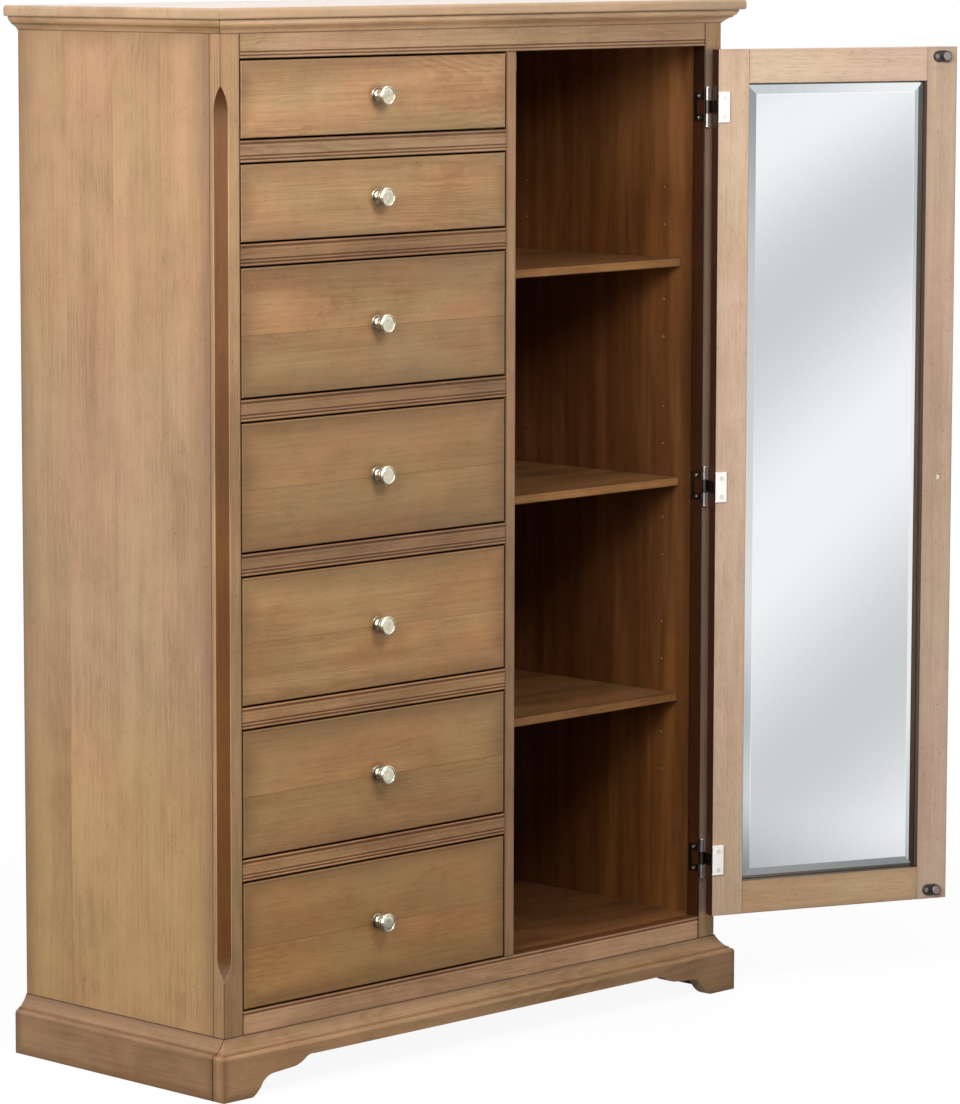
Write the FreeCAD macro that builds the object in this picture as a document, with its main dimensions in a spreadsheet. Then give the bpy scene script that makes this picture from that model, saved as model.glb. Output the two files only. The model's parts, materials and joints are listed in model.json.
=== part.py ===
"""A gentleman's chest: seven inset drawers beside a tall cupboard whose door carries a mirror.

The frame: X runs across the front, Y runs from the front (negative) to the back (zero), Z is up.
The origin is on the floor, on the case's centre line, in the plane of the case's back.
The door is drawn closed and then turned about its hinge pins to the angle at which it stands.
"""
import FreeCAD, Part
import math
import os
import Sketcher
from FreeCAD import Placement, Rotation, Vector

# Driving sizes in millimetres: alias, value, what it measures
LENGTHS = (
    ("case_width", 1016.0, "over the two front posts"),
    ("case_depth", 416.0, "front face to back"),
    ("total_height", 1496.5, "floor to the top surface"),
    ("case_foot", 45.0, "floor to the lower end of sides and posts"),
    ("side_thickness", 19.0, "side panels"),
    ("back_thickness", 6.0, "back panel"),
    ("back_rabbet", 9.0, "how far the back runs into each side"),
    ("partition_thickness", 16.0, "upright between drawers and cupboard"),
    ("floor_thickness", 16.0, "case bottom"),
    ("post_width", 35.8, "front post, seen from the front"),
    ("post_depth", 22.0, "front post, front to back"),
    ("mid_stile_width", 19.3, "stile between drawers and cupboard"),
    ("opening_bottom", 116.4, "floor to the top of the bottom rail"),
    ("top_rail_height", 53.5, "top rail, from the openings to the top board"),
    ("arris", 0.9, "softened edge of a post or stile"),
    ("overrun", 5.0, "how far a cutter runs past the stock"),
    ("chamfer_leg", 14.6, "post chamfer across each face"),
    ("chamfer_below", 77.0, "chamfer's lower tip above the base moulding"),
    ("chamfer_above", 68.5, "chamfer's upper tip below the crown"),
    ("chamfer_runout", 36.5, "length of the chamfer's pointed end"),
    ("top_thickness", 15.5, "top board"),
    ("top_overhang", 26.5, "top board beyond the case"),
    ("top_upper_round", 5.5, "upper edge of the top board"),
    ("top_lower_round", 3.0, "lower edge of the top board"),
    ("crown_height", 19.5, "crown moulding"),
    ("crown_reach", 19.0, "crown moulding's projection"),
    ("base_height", 84.0, "floor to the top of the base moulding"),
    ("base_face_height", 57.5, "floor to the top of the base's flat face"),
    ("base_thickness", 22.3, "base board"),
    ("foot_flat", 55.0, "bracket foot on the floor, from the corner"),
    ("foot_run", 173.0, "corner to where the apron runs straight"),
    ("apron_rise", 43.5, "floor to the apron's straight edge"),
    ("plinth_thickness", 18.0, "base board at the back"),
    ("rail_height", 30.2, "rails between drawers"),
    ("rail_depth", 22.0, "rails, front to back"),
    ("bead_width", 3.5, "bead along a rail's edge"),
    ("small_bead_width", 2.8, "inner bead of the lower pair"),
    ("quirk_width", 1.5, "narrow groove between two beads"),
    ("groove_width", 2.3, "groove beside a rail's field"),
    ("fillet_width", 3.6, "flat strip below the upper groove"),
    ("groove_depth", 1.5, "grooves below the rail's face"),
    ("field_step", 0.5, "field below the flat strip"),
    ("small_front_height", 104.8, "upper drawer fronts"),
    ("front_thickness", 20.0, "drawer fronts"),
    ("front_gap", 2.7, "reveal round a drawer front"),
    ("front_round", 1.6, "softened edge of a drawer front"),
    ("box_wall", 12.0, "drawer box sides and back"),
    ("box_back_gap", 10.0, "drawer box to the back panel"),
    ("box_side_gap", 6.5, "drawer box side to the bay's side"),
    ("box_drop", 12.0, "box side below the front's top edge"),
    ("run_gap", 0.3, "drawer side above what it slides on"),
    ("box_floor_thickness", 5.0, "drawer bottom"),
    ("box_floor_lift", 8.0, "drawer bottom above the sides' lower edges"),
    ("housing_depth", 5.0, "groove that holds a drawer bottom"),
    ("panel_play", 0.2, "play of a panel in its groove"),
    ("runner_height", 20.0, "drawer runner"),
    ("guide_height", 14.0, "drawer guide and drawer stop"),
    ("guide_gap", 0.5, "drawer side to its guide or stop"),
    ("knob_radius", 14.2, "knob's head"),
    ("knob_length", 24.5, "knob's projection"),
    ("knob_screw_radius", 2.0, "screw through a drawer front"),
    ("knob_screw_reach", 11.0, "screw inside the knob"),
    ("knob_screw_head_radius", 4.2, "head of the knob's screw"),
    ("knob_screw_head_height", 2.4, "head of the knob's screw"),
    ("screw_play", 0.3, "screw in a through hole"),
    ("thread_play", 0.05, "screw in its thread"),
    ("shelf_thickness", 13.0, "shelves"),
    ("shelf_setback", 60.0, "shelf's front edge behind the case's face"),
    ("shelf_end_gap", 1.5, "shelf's end to the wall"),
    ("shelf_round", 2.0, "softened front edge of a shelf"),
    ("upper_shelf_top", 1110.0, "floor to the upper shelf's top"),
    ("middle_shelf_top", 779.5, "floor to the middle shelf's top"),
    ("lower_shelf_top", 451.0, "floor to the lower shelf's top"),
    ("support_width", 10.0, "shelf support along the wall"),
    ("support_thickness", 1.0, "metal of a shelf support"),
    ("support_reach", 13.0, "shelf support under the shelf"),
    ("support_rise", 5.0, "shelf support above its peg"),
    ("peg_radius", 2.4, "peg of a shelf support"),
    ("peg_length", 8.0, "peg of a shelf support"),
    ("peg_play", 0.1, "peg in its hole"),
    ("peg_hole_depth", 9.0, "hole for a peg"),
    ("peg_hole_lift", 6.9, "hole above the shelf's underside"),
    ("peg_hole_pitch", 56.4, "between holes in a row"),
    ("peg_front_line", 92.5, "front row of holes behind the case's face"),
    ("peg_rear_line", 39.2, "rear row of holes in front of the case's back"),
    ("door_side_gap", 2.7, "door to the opening, each side"),
    ("door_top_gap", 4.4, "door to the opening's top"),
    ("door_bottom_gap", 5.6, "door to the opening's bottom"),
    ("door_thickness", 22.0, "door frame"),
    ("door_frame_width", 50.8, "stiles and rails of the door"),
    ("door_round", 1.8, "softened outer edges of the door"),
    ("door_inner_round", 0.8, "softened edges round the mirror"),
    ("panel_set_back", 4.0, "outer panel behind the door's face"),
    ("panel_thickness", 5.0, "outer panel"),
    ("panel_housing", 8.0, "groove that holds the outer panel"),
    ("mirror_thickness", 4.0, "mirror"),
    ("mirror_edge", 1.8, "mirror's thickness at its edge"),
    ("mirror_bevel", 16.0, "width of the mirror's bevel"),
    ("mirror_gap", 0.4, "mirror to the door frame"),
    ("hinge_axis_out", 4.5, "hinge pin in front of the case's face"),
    ("hinge_axis_side", 2.0, "hinge pin beyond the opening's edge"),
    ("hinge_inset", 85.2, "hinge centre from the door's end"),
    ("hinge_length", 57.0, "hinge barrel"),
    ("knuckle_radius", 4.0, "hinge barrel"),
    ("knuckle_gap", 0.3, "between knuckles"),
    ("door_knuckle_length", 19.4, "middle knuckle, on the door"),
    ("hinge_pin_radius", 1.5, "hinge pin"),
    ("hinge_running_gap", 0.05, "pin in its knuckles"),
    ("pin_cap_radius", 3.0, "pin's rounded end"),
    ("pin_cap_height", 1.2, "pin's rounded end"),
    ("leaf_thickness", 1.2, "hinge leaves"),
    ("door_leaf_height", 18.0, "door leaf beside its knuckle"),
    ("arm_height", 10.0, "each arm of the case leaf"),
    ("arm_length", 19.0, "arm behind the case's face"),
    ("arm_spacing", 32.2, "screw to screw on the case leaf"),
    ("arm_screw_back", 9.0, "screw behind the case's face"),
    ("spine_width", 5.0, "strip that joins the two arms"),
    ("small_screw_radius", 1.7, "screw of a hinge or catch"),
    ("small_screw_length", 12.0, "screw of a hinge or catch"),
    ("small_screw_head_radius", 3.3, "screw of a hinge or catch"),
    ("small_screw_head_height", 0.9, "screw of a hinge or catch"),
    ("cover_width", 18.0, "cover plate of a door leaf"),
    ("cover_height", 45.0, "cover plate of a door leaf"),
    ("cover_thickness", 2.6, "cover plate of a door leaf"),
    ("cover_rim", 2.5, "cover plate beyond the leaf"),
    ("cover_round", 0.7, "cover plate's edges"),
    ("cover_screw_spacing", 28.0, "screw to screw on a cover plate"),
    ("door_knob_inset", 23.5, "knob from the door's free edge"),
    ("door_screw_sink", 3.0, "knob's screw head below the door's inner face"),
    ("catch_from_edge", 21.0, "magnet from the door's free edge"),
    ("catch_from_end", 14.0, "magnet from the door's end"),
    ("catch_tail", 11.5, "magnet to the middle of the catch's tail"),
    ("catch_radius", 8.5, "rounded ends of the catch"),
    ("catch_base", 3.0, "catch's base plate"),
    ("catch_screw_line", 14.5, "magnet to the catch's screw"),
    ("boss_radius", 7.8, "catch's round housing"),
    ("boss_height", 8.6, "catch's round housing above the door"),
    ("magnet_radius", 6.2, "magnet"),
    ("magnet_thickness", 3.0, "magnet"),
    ("magnet_proud", 0.4, "magnet beyond its housing"),
    ("strike_gap", 0.5, "magnet to its plate with the door closed"),
    ("strike_thickness", 1.5, "steel plate"),
    ("strike_half_height", 10.0, "steel plate"),
    ("strike_past_magnet", 9.0, "steel plate beyond the magnet's centre"),
    ("strike_foot", 22.0, "steel plate along the partition"),
)
ANGLES = (("door_open_degrees", 157.3, "from closed to where the door stands"),)

SMALL_DRAWERS = 2
LARGE_DRAWERS = 5
BAY_WIDTH_SHARE = 0.56351
PEG_HOLE_STEPS = (-2, -1, 0, 1, 2)
POST_TURN_DEGREES = {-1: 45, 1: 135}
TOLERANCE_SHARE = 1e-7
CUTS = ("PartDesign::Pocket", "PartDesign::SubtractiveBox", "PartDesign::SubtractiveCylinder")

# Outlines as shares of named sizes: a pair is a straight edge's end, four are a curve's middle and end
CROWN_SHARES = (
    (0.0, 0.0),
    (0.04, 0.0),
    (0.27, 0.23, 0.60, 0.426),
    (0.663, 0.426),
    (0.663, 0.503),
    (0.874, 0.677, 1.0, 0.954),
    (1.0, 1.0),
    (0.0, 1.0),
)
BASE_MOULD_SHARES = (
    (1.0, 0.0),
    (0.933, 0.155, 0.753, 0.226),
    (0.753, 0.29),
    (0.664, 0.29),
    (0.664, 0.34),
    (0.592, 0.34),
    (0.26, 0.653, 0.04, 1.0),
)
FOOT_SHARES = (
    (0.0, 0.0),
    (0.093, 0.175, 0.169, 0.444),
    (0.246, 0.589, 0.373, 0.657),
    (0.669, 0.713),
    (0.78, 0.789, 0.864, 0.92),
    (0.915, 0.989, 1.0, 1.0),
)
KNOB_SHARES = (
    (0.77, 0.0),
    (0.77, 0.065),
    (0.52, 0.12, 0.39, 0.34),
    (0.48, 0.40, 0.38, 0.46),
    (0.38, 0.50),
    (0.50, 0.615, 0.92, 0.675),
    (1.0, 0.79, 0.93, 0.93),
    (0.89, 0.99, 0.80, 1.0),
    (0.74, 0.96),
    (0.56, 0.972, 0.34, 0.976),
    (0.0, 0.976),
)
RUNOUT_MIDDLE_SHARE = 0.5
RUNOUT_DEPTH_SHARE = 0.764
HEAD_SHARES = ((1.0, 0.0), (1.0, 0.45), (0.6, 1.0), (0.0, 1.0))


class Size:
    """A length: its value now, and the sheet expression that gives it."""

    def __init__(self, value, text):
        self.value = value
        self.text = text

    def __add__(self, other):
        return Size(self.value + other.value, f"({self.text} + {other.text})")

    def __sub__(self, other):
        return Size(self.value - other.value, f"({self.text} - {other.text})")

    def __neg__(self):
        return Size(-self.value, f"(0 - {self.text})")

    def __mul__(self, share):
        return Size(self.value * share, f"({self.text} * {share})")

    def __truediv__(self, share):
        return Size(self.value / share, f"({self.text} / {share})")


class Sheet:
    """The spreadsheet of driving sizes; each alias is an attribute that gives a Size."""

    def __init__(self, rows):
        sheet = doc.addObject("Spreadsheet::Sheet", "sizes")
        for number, (alias, value, words) in enumerate(rows, start=1):
            sheet.set(f"A{number}", alias)
            sheet.set(f"B{number}", str(value))
            sheet.set(f"C{number}", words)
            sheet.setAlias(f"B{number}", alias)
            setattr(self, alias, Size(value, f"sizes.{alias}"))


doc = FreeCAD.newDocument("gentlemans_chest")
s = Sheet(LENGTHS + ANGLES)
doc.recompute()

NONE = Size(0.0, "0")
ALONG_X = Rotation(Vector(0, 1, 0), 90)
ALONG_Y = Rotation(Vector(1, 0, 0), -90)
ALONG_Z = Rotation()
nodes = {}

# Places that several sub-parts share
front = -s.case_depth
half = s.case_width / 2
under_top = s.total_height - s.top_thickness
under_crown = under_top - s.crown_height
behind_posts = front + s.post_depth
before_back = -s.back_thickness
wall = half - s.side_thickness
bay_left = s.post_width - half
bay_right = bay_left + (s.case_width - s.post_width * 2 - s.mid_stile_width) * BAY_WIDTH_SHARE
bay_middle = (bay_left + bay_right) / 2
cupboard_left = bay_right + s.mid_stile_width
cupboard_right = half - s.post_width
partition_left = cupboard_left - s.partition_thickness
box_left = bay_left + s.box_side_gap
box_right = bay_right - s.box_side_gap
behind_front = front + s.front_thickness
box_end = before_back - s.box_back_gap
box_floor = s.run_gap + s.box_floor_lift
door_left = cupboard_left + s.door_side_gap
door_right = cupboard_right - s.door_side_gap
door_low = s.opening_bottom + s.door_bottom_gap
door_inner = front + s.door_thickness
hinge_x = cupboard_right + s.hinge_axis_side
hinge_y = front - s.hinge_axis_out
magnet_x = door_left + s.catch_from_edge
strike_y = door_inner + s.boss_height + s.magnet_proud + s.strike_gap


def drawer_openings():
    """Lower edge and front height of each drawer's opening, from the bottom one up.

    The large fronts share the height that the small ones, the gaps and the rails leave.
    """
    drawers = LARGE_DRAWERS + SMALL_DRAWERS
    taken = s.front_gap * (2 * drawers) + s.rail_height * (drawers - 1)
    taken = taken + s.small_front_height * SMALL_DRAWERS
    large_front_height = (opening_top - s.opening_bottom - taken) / LARGE_DRAWERS
    low = s.opening_bottom
    rows = []
    for height in [large_front_height] * LARGE_DRAWERS + [s.small_front_height] * SMALL_DRAWERS:
        rows.append((low, height))
        low = low + s.front_gap * 2 + height + s.rail_height
    return rows


opening_top = under_top - s.top_rail_height
openings = drawer_openings()
door_high = opening_top - s.door_top_gap
hinge_heights = (door_low + s.hinge_inset, (door_low + door_high) / 2, door_high - s.hinge_inset)
catch_heights = (door_low + s.catch_from_end, door_high - s.catch_from_end)
shelf_tops = {"upper": s.upper_shelf_top, "middle": s.middle_shelf_top, "lower": s.lower_shelf_top}
peg_lines = (front + s.peg_front_line, -s.peg_rear_line)
DOOR_TURN = (
    "placement(vector(0; 0; 0); rotation(vector(0; 0; 1); sizes.door_open_degrees); "
    f"vector({hinge_x.text}; {hinge_y.text}; 0))"
)


def bind(thing, **sizes):
    """Tie named properties to sizes."""
    for name, size in sizes.items():
        thing.setExpression(name, size.text)


def put(thing, corner):
    """Tie the three coordinates of a placement to sizes."""
    for axis, size in zip("xyz", corner):
        thing.setExpression(f"Placement.Base.{axis}", size.text)


def sided(sign, near, far):
    """Lower and higher coordinate of a span at the right (1) or the left (-1) of the middle."""
    return (near, far) if sign > 0 else (-far, -near)


def on(edge, axis, size):
    """True where an edge lies at a size along one axis."""
    box = edge.BoundBox
    reach = s.case_width.value * TOLERANCE_SHARE
    low = getattr(box, f"{axis}Min")
    high = getattr(box, f"{axis}Max")
    return abs(low - size.value) < reach and abs(high - size.value) < reach


def upright(edge):
    """True where an edge runs along Z."""
    ends = edge.Vertexes
    return abs(ends[0].Z - ends[-1].Z) > edge.Length / 2


def on_door_face(edge):
    """True where an edge lies on the closed door's outer or inner face."""
    return on(edge, "Y", front) or on(edge, "Y", door_inner)


def pin_down(sketch, name, geometry, place, point):
    """Tie one vertex of a sketch to a pair of sizes."""
    for axis, size in zip("XY", point):
        constraint = Sketcher.Constraint(f"Distance{axis}", -1, 1, geometry, place, size.value)
        number = sketch.addConstraint(constraint)
        sketch.renameConstraint(number, f"{name}{axis}")
        sketch.setExpression(f"Constraints.{name}{axis}", size.text)


def draw(sketch, rows):
    """Close a line of points; a row of four sizes is a curve's middle and its end."""
    points = [Vector(row[-2].value, row[-1].value, 0) for row in rows]
    curves = []
    for number, start in enumerate(points):
        row = rows[(number + 1) % len(rows)]
        end = points[(number + 1) % len(rows)]
        if len(row) == 4:
            middle = Vector(row[0].value, row[1].value, 0)
            sketch.addGeometry(Part.Arc(start, middle, end), False)
            curves.append((number, row[:2], middle))
        else:
            sketch.addGeometry(Part.LineSegment(start, end), False)
    starts = []
    for number, start in enumerate(points):
        near_first = sketch.getPoint(number, 1).distanceToPoint(start)
        near_second = sketch.getPoint(number, 2).distanceToPoint(start)
        starts.append(1 if near_first < near_second else 2)
    for number in range(len(points)):
        after = (number + 1) % len(points)
        ends = (number, 3 - starts[number], after, starts[after])
        sketch.addConstraint(Sketcher.Constraint("Coincident", *ends))
    for number, row in enumerate(rows):
        pin_down(sketch, f"point{number}", number, starts[number], row[-2:])
    for number, place, middle in curves:
        mark = sketch.addGeometry(Part.Point(middle), True)
        sketch.addConstraint(Sketcher.Constraint("PointOnObject", mark, 1, number))
        pin_down(sketch, f"middle{number}", mark, 1, place)


class Piece:
    """One solid, made of features in a body of its own."""

    def __init__(self, label):
        self.body = doc.addObject("PartDesign::Body", label)

    def feature(self, kind, **sizes):
        made = self.body.newObject(f"PartDesign::{kind}", f"{self.body.Name}_{kind}")
        bind(made, **sizes)
        return made

    def block(self, low, high, kind="AdditiveBox"):
        """A block between its lowest and its highest corner."""
        length, width, height = (top - bottom for bottom, top in zip(low, high))
        made = self.feature(kind, Length=length, Width=width, Height=height)
        put(made, low)
        return self

    def cut_block(self, low, high):
        return self.block(low, high, "SubtractiveBox")

    def rod(self, start, length, radius, turn, kind="AdditiveCylinder"):
        """A rod from the centre of its first end."""
        made = self.feature(kind, Radius=radius, Height=length)
        made.Placement = Placement(Vector(), turn)
        put(made, start)
        return self

    def cut_rod(self, start, length, radius, turn):
        return self.rod(start, length, radius, turn, "SubtractiveCylinder")

    def sketch(self, role, lift=NONE, aside=NONE, turn=0):
        """An empty sketch on one of the body's planes, lifted along the plane's normal."""
        plane = next(item for item in self.body.Origin.OriginFeatures if item.Role == role)
        made = self.body.newObject("Sketcher::SketchObject", f"{self.body.Name}_outline")
        made.AttachmentSupport = [(plane, "")]
        made.MapMode = "FlatFace"
        made.AttachmentOffset = Placement(Vector(), Rotation(Vector(0, 1, 0), turn))
        bind(made, **{"AttachmentOffset.Base.x": aside, "AttachmentOffset.Base.z": lift})
        return made

    def pad(self, rows, role, low, high):
        """An outline carried from one coordinate to another; XZ_Plane faces towards the front."""
        sketch = self.sketch(role, -high if role == "XZ_Plane" else low)
        draw(sketch, rows)
        self.feature("Pad", Length=high - low).Profile = sketch
        return self

    def cut_through(self, rows, role, **place):
        """An outline cut right through on both sides of its plane."""
        sketch = self.sketch(role, **place)
        draw(sketch, rows)
        made = self.feature("Pocket")
        made.Profile = sketch
        made.Type = "ThroughAll"
        made.Midplane = True
        return self

    def turned(self, rows):
        """An outline of (along Y, radius) turned about Y."""
        sketch = self.sketch("YZ_Plane")
        draw(sketch, rows)
        made = self.feature("Revolution")
        made.Profile = sketch
        made.ReferenceAxis = (sketch, ["H_Axis"])
        made.Angle = 360
        return self

    def soften(self, radius, wanted):
        """Round the edges that a test picks."""
        doc.recompute()
        tip = self.body.Tip
        edges = enumerate(tip.Shape.Edges, start=1)
        names = [f"Edge{number}" for number, edge in edges if wanted(edge)]
        self.feature("Fillet", Radius=radius).Base = (tip, names)
        return self


def keep(label, pieces, door=False, place=None):
    """Register one node: a single piece, or several side by side in one group."""
    if len(pieces) == 1:
        thing = pieces[0].body
    else:
        thing = doc.addObject("Part::Compound", label)
        thing.Links = [piece.body for piece in pieces]
    thing.Label = label
    if door:
        thing.setExpression("Placement", DOOR_TURN)
    if place:
        put(thing, place)
    nodes[label] = thing


def members(label):
    """Endless fresh pieces for one group, numbered from one."""
    number = 0
    while True:
        number += 1
        yield Piece(f"{label}_{number}")


def profile(shares, reach, foot, height, place):
    """Outline rows from a table of shares, through a function of outward and upward size."""
    rows = []
    for share in shares:
        row = ()
        for out, up in zip(share[::2], share[1::2]):
            row += place(reach * out, foot + height * up)
        rows.append(row)
    return rows


def backwards(rows):
    """The same open outline, drawn from its other end."""
    flipped = []
    for row, before in zip(rows[:0:-1], rows[-2::-1]):
        flipped.append(row[:-2] + before[-2:])
    return [rows[-1][-2:]] + flipped


# Case carcase
def peg_heights():
    """Heights of the peg holes in a row."""
    for top in shelf_tops.values():
        for step in PEG_HOLE_STEPS:
            yield top - s.shelf_thickness + s.peg_hole_lift + s.peg_hole_pitch * step


def drill_peg_rows(piece, face, sign):
    """Rows of blind holes in a wall, sunk from its face to the right (1) or the left (-1)."""
    start = face - s.overrun if sign > 0 else face - s.peg_hole_depth
    for line in peg_lines:
        for height in peg_heights():
            length = s.peg_hole_depth + s.overrun
            piece.cut_rod((start, line, height), length, s.peg_radius + s.peg_play, ALONG_X)


def make_sides():
    """Side panels behind the posts, rabbeted for the back."""
    for name, sign in (("left", -1), ("right", 1)):
        piece = Piece(f"side_{name}")
        x_low, x_high = sided(sign, wall, half)
        piece.block((x_low, behind_posts, s.case_foot), (x_high, NONE, under_top))
        x_low, x_high = sided(sign, wall - s.overrun, wall + s.back_rabbet)
        low = (x_low, before_back, s.case_foot - s.overrun)
        piece.cut_block(low, (x_high, s.overrun, under_top + s.overrun))
        if sign > 0:
            drill_peg_rows(piece, wall, sign)
        keep(f"side_{name}", [piece])


def chamfer_rows():
    """Section of the post's stopped chamfer, square to its slope: depth, then height."""
    depth = s.chamfer_leg * math.sqrt(0.5)
    low = s.base_height + s.chamfer_below
    high = under_crown - s.chamfer_above
    deep = depth * RUNOUT_DEPTH_SHARE
    ease = s.chamfer_runout * RUNOUT_MIDDLE_SHARE
    return [
        (-s.overrun, low),
        (NONE, low),
        (deep, low + ease, depth, low + s.chamfer_runout),
        (depth, high - s.chamfer_runout),
        (deep, high - ease, NONE, high),
        (-s.overrun, high),
    ]


def make_posts():
    """Front posts with a chamfer on the outer corner that stops in a point at both ends."""
    for name, sign in (("left", -1), ("right", 1)):
        piece = Piece(f"post_{name}")
        x_low, x_high = sided(sign, cupboard_right, half)
        piece.block((x_low, front, s.case_foot), (x_high, behind_posts, under_top))
        piece.soften(s.arris, lambda edge: upright(edge) and on(edge, "Y", front))
        corner = half if sign > 0 else -half
        turn = POST_TURN_DEGREES[sign]
        piece.cut_through(chamfer_rows(), "XZ_Plane", lift=-front, aside=corner, turn=turn)
        if sign > 0:
            for place in arm_screw_places():
                piece.cut_rod(place, s.small_screw_length, s.small_screw_radius + s.thread_play, ALONG_X)
        keep(f"post_{name}", [piece])


def make_carcase():
    """Back, bottom, partition and middle stile."""
    rabbet = wall + s.back_rabbet
    piece = Piece("back_panel").block((-rabbet, before_back, s.case_foot), (rabbet, NONE, under_top))
    keep("back_panel", [piece])
    low = (-wall, behind_posts, s.opening_bottom - s.floor_thickness)
    keep("case_bottom", [Piece("case_bottom").block(low, (wall, before_back, s.opening_bottom))])
    piece = Piece("partition")
    low = (partition_left, behind_posts, s.opening_bottom)
    piece.block(low, (cupboard_left, before_back, under_top))
    drill_peg_rows(piece, cupboard_left, -1)
    keep("partition", [piece])
    piece = Piece("mid_stile")
    piece.block((bay_right, front, s.opening_bottom), (cupboard_left, behind_posts, opening_top))
    piece.soften(s.arris, lambda edge: upright(edge) and on(edge, "Y", front))
    keep("mid_stile", [piece])


def make_top():
    """Top board with rounded front and side edges."""
    edge = half + s.top_overhang
    piece = Piece("top_board")
    piece.block((-edge, front - s.top_overhang, under_top), (edge, NONE, s.total_height))
    piece.soften(s.top_upper_round, lambda side: on(side, "Z", s.total_height) and not on(side, "Y", NONE))
    piece.soften(s.top_lower_round, lambda side: on(side, "Z", under_top) and not on(side, "Y", NONE))
    keep("top_board", [piece])


def mitre_rows(sign, beyond_front):
    """Triangle beyond the 45 degree line through a front corner of the case."""
    inner = half - s.overrun
    outer = half + s.crown_reach + s.overrun
    near = front + s.overrun
    far = front - s.crown_reach - s.overrun
    if sign < 0:
        inner = -inner
        outer = -outer
    third = (inner, far) if beyond_front else (outer, near)
    return [(inner, near), (outer, far), third]


def make_crown():
    """Crown moulding under the top board, mitred at the front corners."""
    size = (s.crown_reach, under_crown, s.crown_height)
    rows = profile(CROWN_SHARES, *size, lambda out, up: (front - out, up))
    piece = Piece("crown_front")
    piece.pad(rows, "YZ_Plane", -half - s.crown_reach, half + s.crown_reach)
    for sign in (-1, 1):
        piece.cut_through(mitre_rows(sign, False), "XY_Plane")
    keep("crown_front", [piece])
    for name, sign in (("left", -1), ("right", 1)):
        piece = Piece(f"crown_{name}")
        rows = profile(CROWN_SHARES, *size, lambda out, up: ((half + out) * sign, up))
        piece.pad(rows, "XZ_Plane", front - s.crown_reach, NONE)
        piece.cut_through(mitre_rows(sign, True), "XY_Plane")
        keep(f"crown_{name}", [piece])


# Base
def base_rows(place):
    """Section of a base board: its back, its foot, its face and the moulding on top."""
    rise = s.base_height - s.base_face_height
    rows = [place(NONE, s.base_height), place(NONE, NONE), place(s.base_thickness, NONE)]
    return rows + profile(BASE_MOULD_SHARES, s.base_thickness, s.base_face_height, rise, place)


def end_rows(sign):
    """What is cut off outside the moulding at one end of the front board."""
    rise = s.base_height - s.base_face_height
    above = s.base_height + s.overrun
    outside = (half + s.base_thickness + s.overrun) * sign
    size = (s.base_thickness, s.base_face_height, rise)
    rows = profile(BASE_MOULD_SHARES, *size, lambda out, up: ((half + out) * sign, up))
    foot = (rows[0][0], -s.overrun)
    return [foot] + rows + [(rows[-1][-2], above), (outside, above), (outside, -s.overrun)]


def foot_rows(sign):
    """Bracket foot's outline from the floor to the apron, at one end."""
    run = s.foot_run - s.foot_flat
    edge = half + s.base_thickness
    rows = profile(
        FOOT_SHARES, run, NONE, s.apron_rise, lambda in_, up: ((edge - s.foot_flat - in_) * sign, up)
    )
    return [((edge - s.foot_flat) * sign, -s.overrun)] + rows


def make_base():
    """Front board with bracket feet and returned moulding; plain boards at the sides and the back."""
    edge = half + s.base_thickness + s.overrun
    piece = Piece("base_front")
    piece.pad(base_rows(lambda out, up: (front - out, up)), "YZ_Plane", -edge, edge)
    for sign in (-1, 1):
        piece.cut_through(end_rows(sign), "XZ_Plane")
    piece.cut_through(foot_rows(-1) + backwards(foot_rows(1)), "XZ_Plane")
    keep("base_front", [piece])
    for name, sign in (("left", -1), ("right", 1)):
        piece = Piece(f"base_{name}")
        rows = base_rows(lambda out, up: ((half + out) * sign, up))
        keep(f"base_{name}", [piece.pad(rows, "XZ_Plane", front, NONE)])
    piece = Piece("base_back")
    keep("base_back", [piece.block((-half, -s.plinth_thickness, NONE), (half, NONE, s.case_foot))])


# Rails
def upper_beads(high):
    """Bead, groove and flat strip below a rail's top edge."""
    deep = front + s.groove_depth
    below_bead = high - s.bead_width
    below_groove = below_bead - s.groove_width
    below_fillet = below_groove - s.fillet_width
    return [
        (deep, high),
        (front, high - s.bead_width / 2, deep, below_bead),
        (deep, below_groove),
        (front, below_groove),
        (front, below_fillet),
        (front + s.field_step, below_fillet),
    ]


def lower_beads(low, face):
    """Groove and two beads above a rail's lower edge, from the field down."""
    deep = front + s.groove_depth
    above_bead = low + s.bead_width
    above_quirk = above_bead + s.quirk_width
    above_small_bead = above_quirk + s.small_bead_width
    above_groove = above_small_bead + s.groove_width
    return [
        (face, above_groove),
        (deep, above_groove),
        (deep, above_small_bead),
        (front, above_quirk + s.small_bead_width / 2, deep, above_quirk),
        (deep, above_bead),
        (front, low + s.bead_width / 2, deep, low),
    ]


def rail_rows(low, high, top_beads, foot_beads):
    """Section of a rail: its back, then its face from the top down."""
    back = front + s.rail_depth
    rows = [(back, low), (back, high)]
    rows += upper_beads(high) if top_beads else [(front, high)]
    face = front + s.field_step if top_beads else front
    rows += lower_beads(low, face) if foot_beads else [(face, low)]
    return rows


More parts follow.
